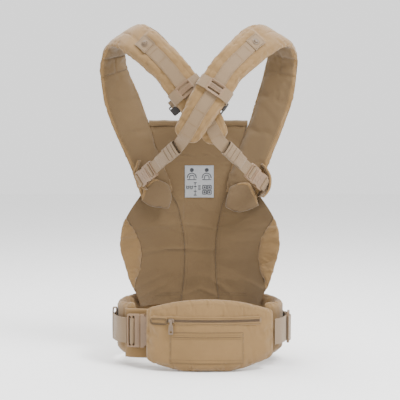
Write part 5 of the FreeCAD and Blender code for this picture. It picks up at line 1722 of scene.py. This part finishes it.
def make_waist():
    left = upright(Solid(), [(-168, 12), (-170.5, -8), (-171.5, -27)], WAIST_Z, WAIST_WEB, WAIST_THICK)
    left = left.piece("waist_web_left", "webbing", "webbing")
    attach(left, "carrier")
    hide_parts("waist_webbing_left")
    slack_path = [(-171.5, -27.4), (-164, -50), (-154, -64), (-142.5, -71.7)]
    slack = upright(Solid(), slack_path, WAIST_Z, WAIST_WEB, WAIST_THICK, sway=0.03)
    slack = slack.piece("waist_web_slack", "webbing", "webbing")
    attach(slack, "carrier")
    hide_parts("waist_webbing_slack")
    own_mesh(slack)
    back = Solid()
    x = np.linspace(-52, 140, 60)
    path = np.stack([x, 572.0 - np.sqrt(673.1 ** 2 - (x - 18.5) ** 2), 0 * x + WAIST_Z], -1)
    add_ribbon(back, path, UP, WAIST_WEB, WAIST_THICK)
    back = back.piece("waist_web_back", "webbing", "webbing")
    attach(back, "carrier")
    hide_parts("waist_webbing_back")
    right_path = [(144, -92), (158, -74), (168, -50), (171.5, -24), (169, 4), (167.5, 14)]
    right = upright(Solid(), right_path, WAIST_Z, WAIST_WEB, WAIST_THICK, 90)
    right = right.piece("waist_web_right", "webbing", "webbing")
    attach(right, "carrier")
    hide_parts("waist_webbing_right")
    tail = Solid()
    upright(tail, [(174.0, -48), (178.3, -24), (176.6, 2), (172.2, 18)], WAIST_Z - 1.5, WAIST_WEB - 1, 2.0,
            50, 0.04)
    upright(tail, [(175.5, -40), (180.4, -22), (178.8, -2), (175.6, 8)], WAIST_Z - 2.5, WAIST_WEB - 1, 2.0,
            40, 0.05)
    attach(tail.piece("waist_web_tail", "webbing", "webbing"), "carrier")

    f = Place((-170.0, -14, WAIST_Z + 5), (-0.06, -1, 0), (0, 0, 1))
    w, t = 30.6, 3.4
    ring = [(w, 0), (w, t - 1.5), (w - 2, t), (0, t + 0.4), (2 - w, t), (-w, t - 1.5), (-w, 0),
            (-w, 1.5 - t), (2 - w, -t),
            (0, -t - 0.2), (w - 2, -t), (w, 1.5 - t), (w, -0.2)]
    path = resample(np.array([f.at(0, u, n) for u, n in ring]), 70)
    keeper = add_ribbon(Solid(), path, f.a, 13, 1.5).piece("waist_keeper_band", "elastic", "elastic")
    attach(keeper, "carrier")
    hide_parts("waist_keeper")

    f = Place((171.2, -27, WAIST_Z), (0.12, 1, 0), (0, 0, 1))
    s = Solid()
    front = -1 if f.n[0] < 0 else 1
    low, high = sorted((front * 1.6, front * 6.6)) if front > 0 else (1.6, 6.6)
    slots = [rounded(a, a + 4, -26.5, 26.5, 1.5) for a in (-10, 6)]
    add_plate(s, f, rounded(-16, 16, -31, 31, 4), low, high, 1.2, slots)
    for k in range(4):
        add_plate(s, f, rounded(-4.5 + 2.4 * k, -3.5 + 2.4 * k, -25, 25, 0.4), low - 0.5, high + 0.5, 0.3)
    adjuster = s.piece("waist_ladder", "buckle_plastic", "buckle_plastic")
    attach(adjuster, "carrier")
    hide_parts("waist_adjuster")

    b = Buckle(Place((-141, -72, WAIST_Z), (69, -13, 0), (0, 0, 1)), WAIST_WEB, 1)
    b.front = 1.0 if b.f.n[1] < 0 else -1.0
    b.plug("waist_plug_part", "waist_buckle_plug", "waist_plug")
    b.socket("waist_socket", "waist_buckle_socket")
    b.end_loop("waist_socket_web", "waist_socket_loop", WAIST_WEB, 10, WAIST_THICK)

    pts = resample(np.array([(x, y, 0) for x,
                             y in [(-147, -52), (-138, -58.5), (-126, -62), (-106, -65), (-86, -66)]],
                            float), 56)
    z = np.linspace(16, 113, 54)
    mid = pts[:, None] + np.stack([0 * z, 0 * z, z], -1)[None]
    mid[..., 1] += value_noise(mid[..., 0] / 14, mid[..., 2] / 16, 95) * 0.4
    guard = Solid()
    add_pillow(guard, mid, 2.4, 2.4, radius=6, rim=0.8)
    guard = guard.piece("buckle_guard", "outer_cloth", "outer_cloth")
    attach(guard, "carrier")
    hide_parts("waist_buckle_guard")


# ---- everything --------------------------------------------------------------------------------------------
for side in ("left", "right"):
    strap = Strap(side)
    held = np.zeros(strap.base.shape[:2], bool)
    held[:, [0, strap.AROUND // 2]] = True
    held[[0, 1, -2, -1]] = True
    ring = strap.ring
    sewn = (ring[:, 1] > 0) & (np.abs(ring[:, 0]) < 0.44)
    held |= sewn[None] & (strap.stations > PATCH_STATION - 0.4)[:, None]
    rows = [int(np.argmin(np.abs(strap.stations - k))) for k in (RISE_ROW, SHOULDER_ROW)]
    held[rows] |= (ring[:, 1] < 0)[None]
    strap.finish(relax(strap.base, held, cap=1.7))
    strap_cover(strap)
    strap_rail(strap)
    chest_hardware(strap)
    root_webbing(strap)
    shoulder_hardware(side)
    make_tab(side)
    fabric_loop(side)
make_panel()
make_headrest()
make_label()
make_belt()
lumbar = make_lumbar()
make_zipper(lumbar)
make_patch(lumbar)
make_waist()


# ---- camera, lights and floor ------------------------------------------------------------------------------
def aim(obj, place, target):
    obj.location = place
    obj.rotation_euler = (Vector(target) - Vector(place)).to_track_quat("-Z", "Y").to_euler()
    bpy.context.scene.collection.objects.link(obj)


TARGET = (0.0, 0.0, 0.3215)
CAMERA_DISTANCE, CAMERA_TILT = 2.2, math.radians(3.5)
LENS, SENSOR = 99.0, 36.0
camera = bpy.data.cameras.new("camera")
camera.lens, camera.sensor_width = LENS, SENSOR
viewer = bpy.data.objects.new("camera", camera)
back, rise = CAMERA_DISTANCE * math.cos(CAMERA_TILT), CAMERA_DISTANCE * math.sin(CAMERA_TILT)
aim(viewer, (0.0, -back, TARGET[2] + rise), TARGET)
bpy.context.scene.camera = viewer


def area_light(name, place, size, power, colour=(1, 1, 1)):
    light = bpy.data.lights.new(name, "AREA")
    light.shape, light.size, light.energy, light.color = "SQUARE", size, power, colour
    aim(bpy.data.objects.new(name, light), place, TARGET)


area_light("key", (1.1, -1.0, 1.9), 0.8, 72.0)
area_light("fill", (-1.6, -1.4, 0.9), 1.6, 8.0)
area_light("top", (-0.4, 0.4, 2.2), 1.4, 55.0)
world = bpy.data.worlds.new("studio")
world.use_nodes = True
world.node_tree.nodes["Background"].inputs["Color"].default_value = (1, 1, 1, 1)
world.node_tree.nodes["Background"].inputs["Strength"].default_value = 1.5
bpy.context.scene.world = world

floor_mesh = bpy.data.meshes.new("floor")
floor_mesh.from_pydata([(-6, -6, 0), (6, -6, 0), (6, 6, 0), (-6, 6, 0)], [], [(0, 1, 2, 3)])
floor = bpy.data.objects.new("floor", floor_mesh)
bpy.context.scene.collection.objects.link(floor)
paper = Shader("paper", roughness=0.9)
grain = paper.noise(paper.place(), 40.0)
paper.finish(paper.ramp(grain, 0.3, 0.7, (0.93, 0.93, 0.93, 1), (0.95, 0.95, 0.95, 1)),
             paper.bump(grain, 0.02, 0.0005))
floor_mesh.materials.append(MATERIALS["paper"])
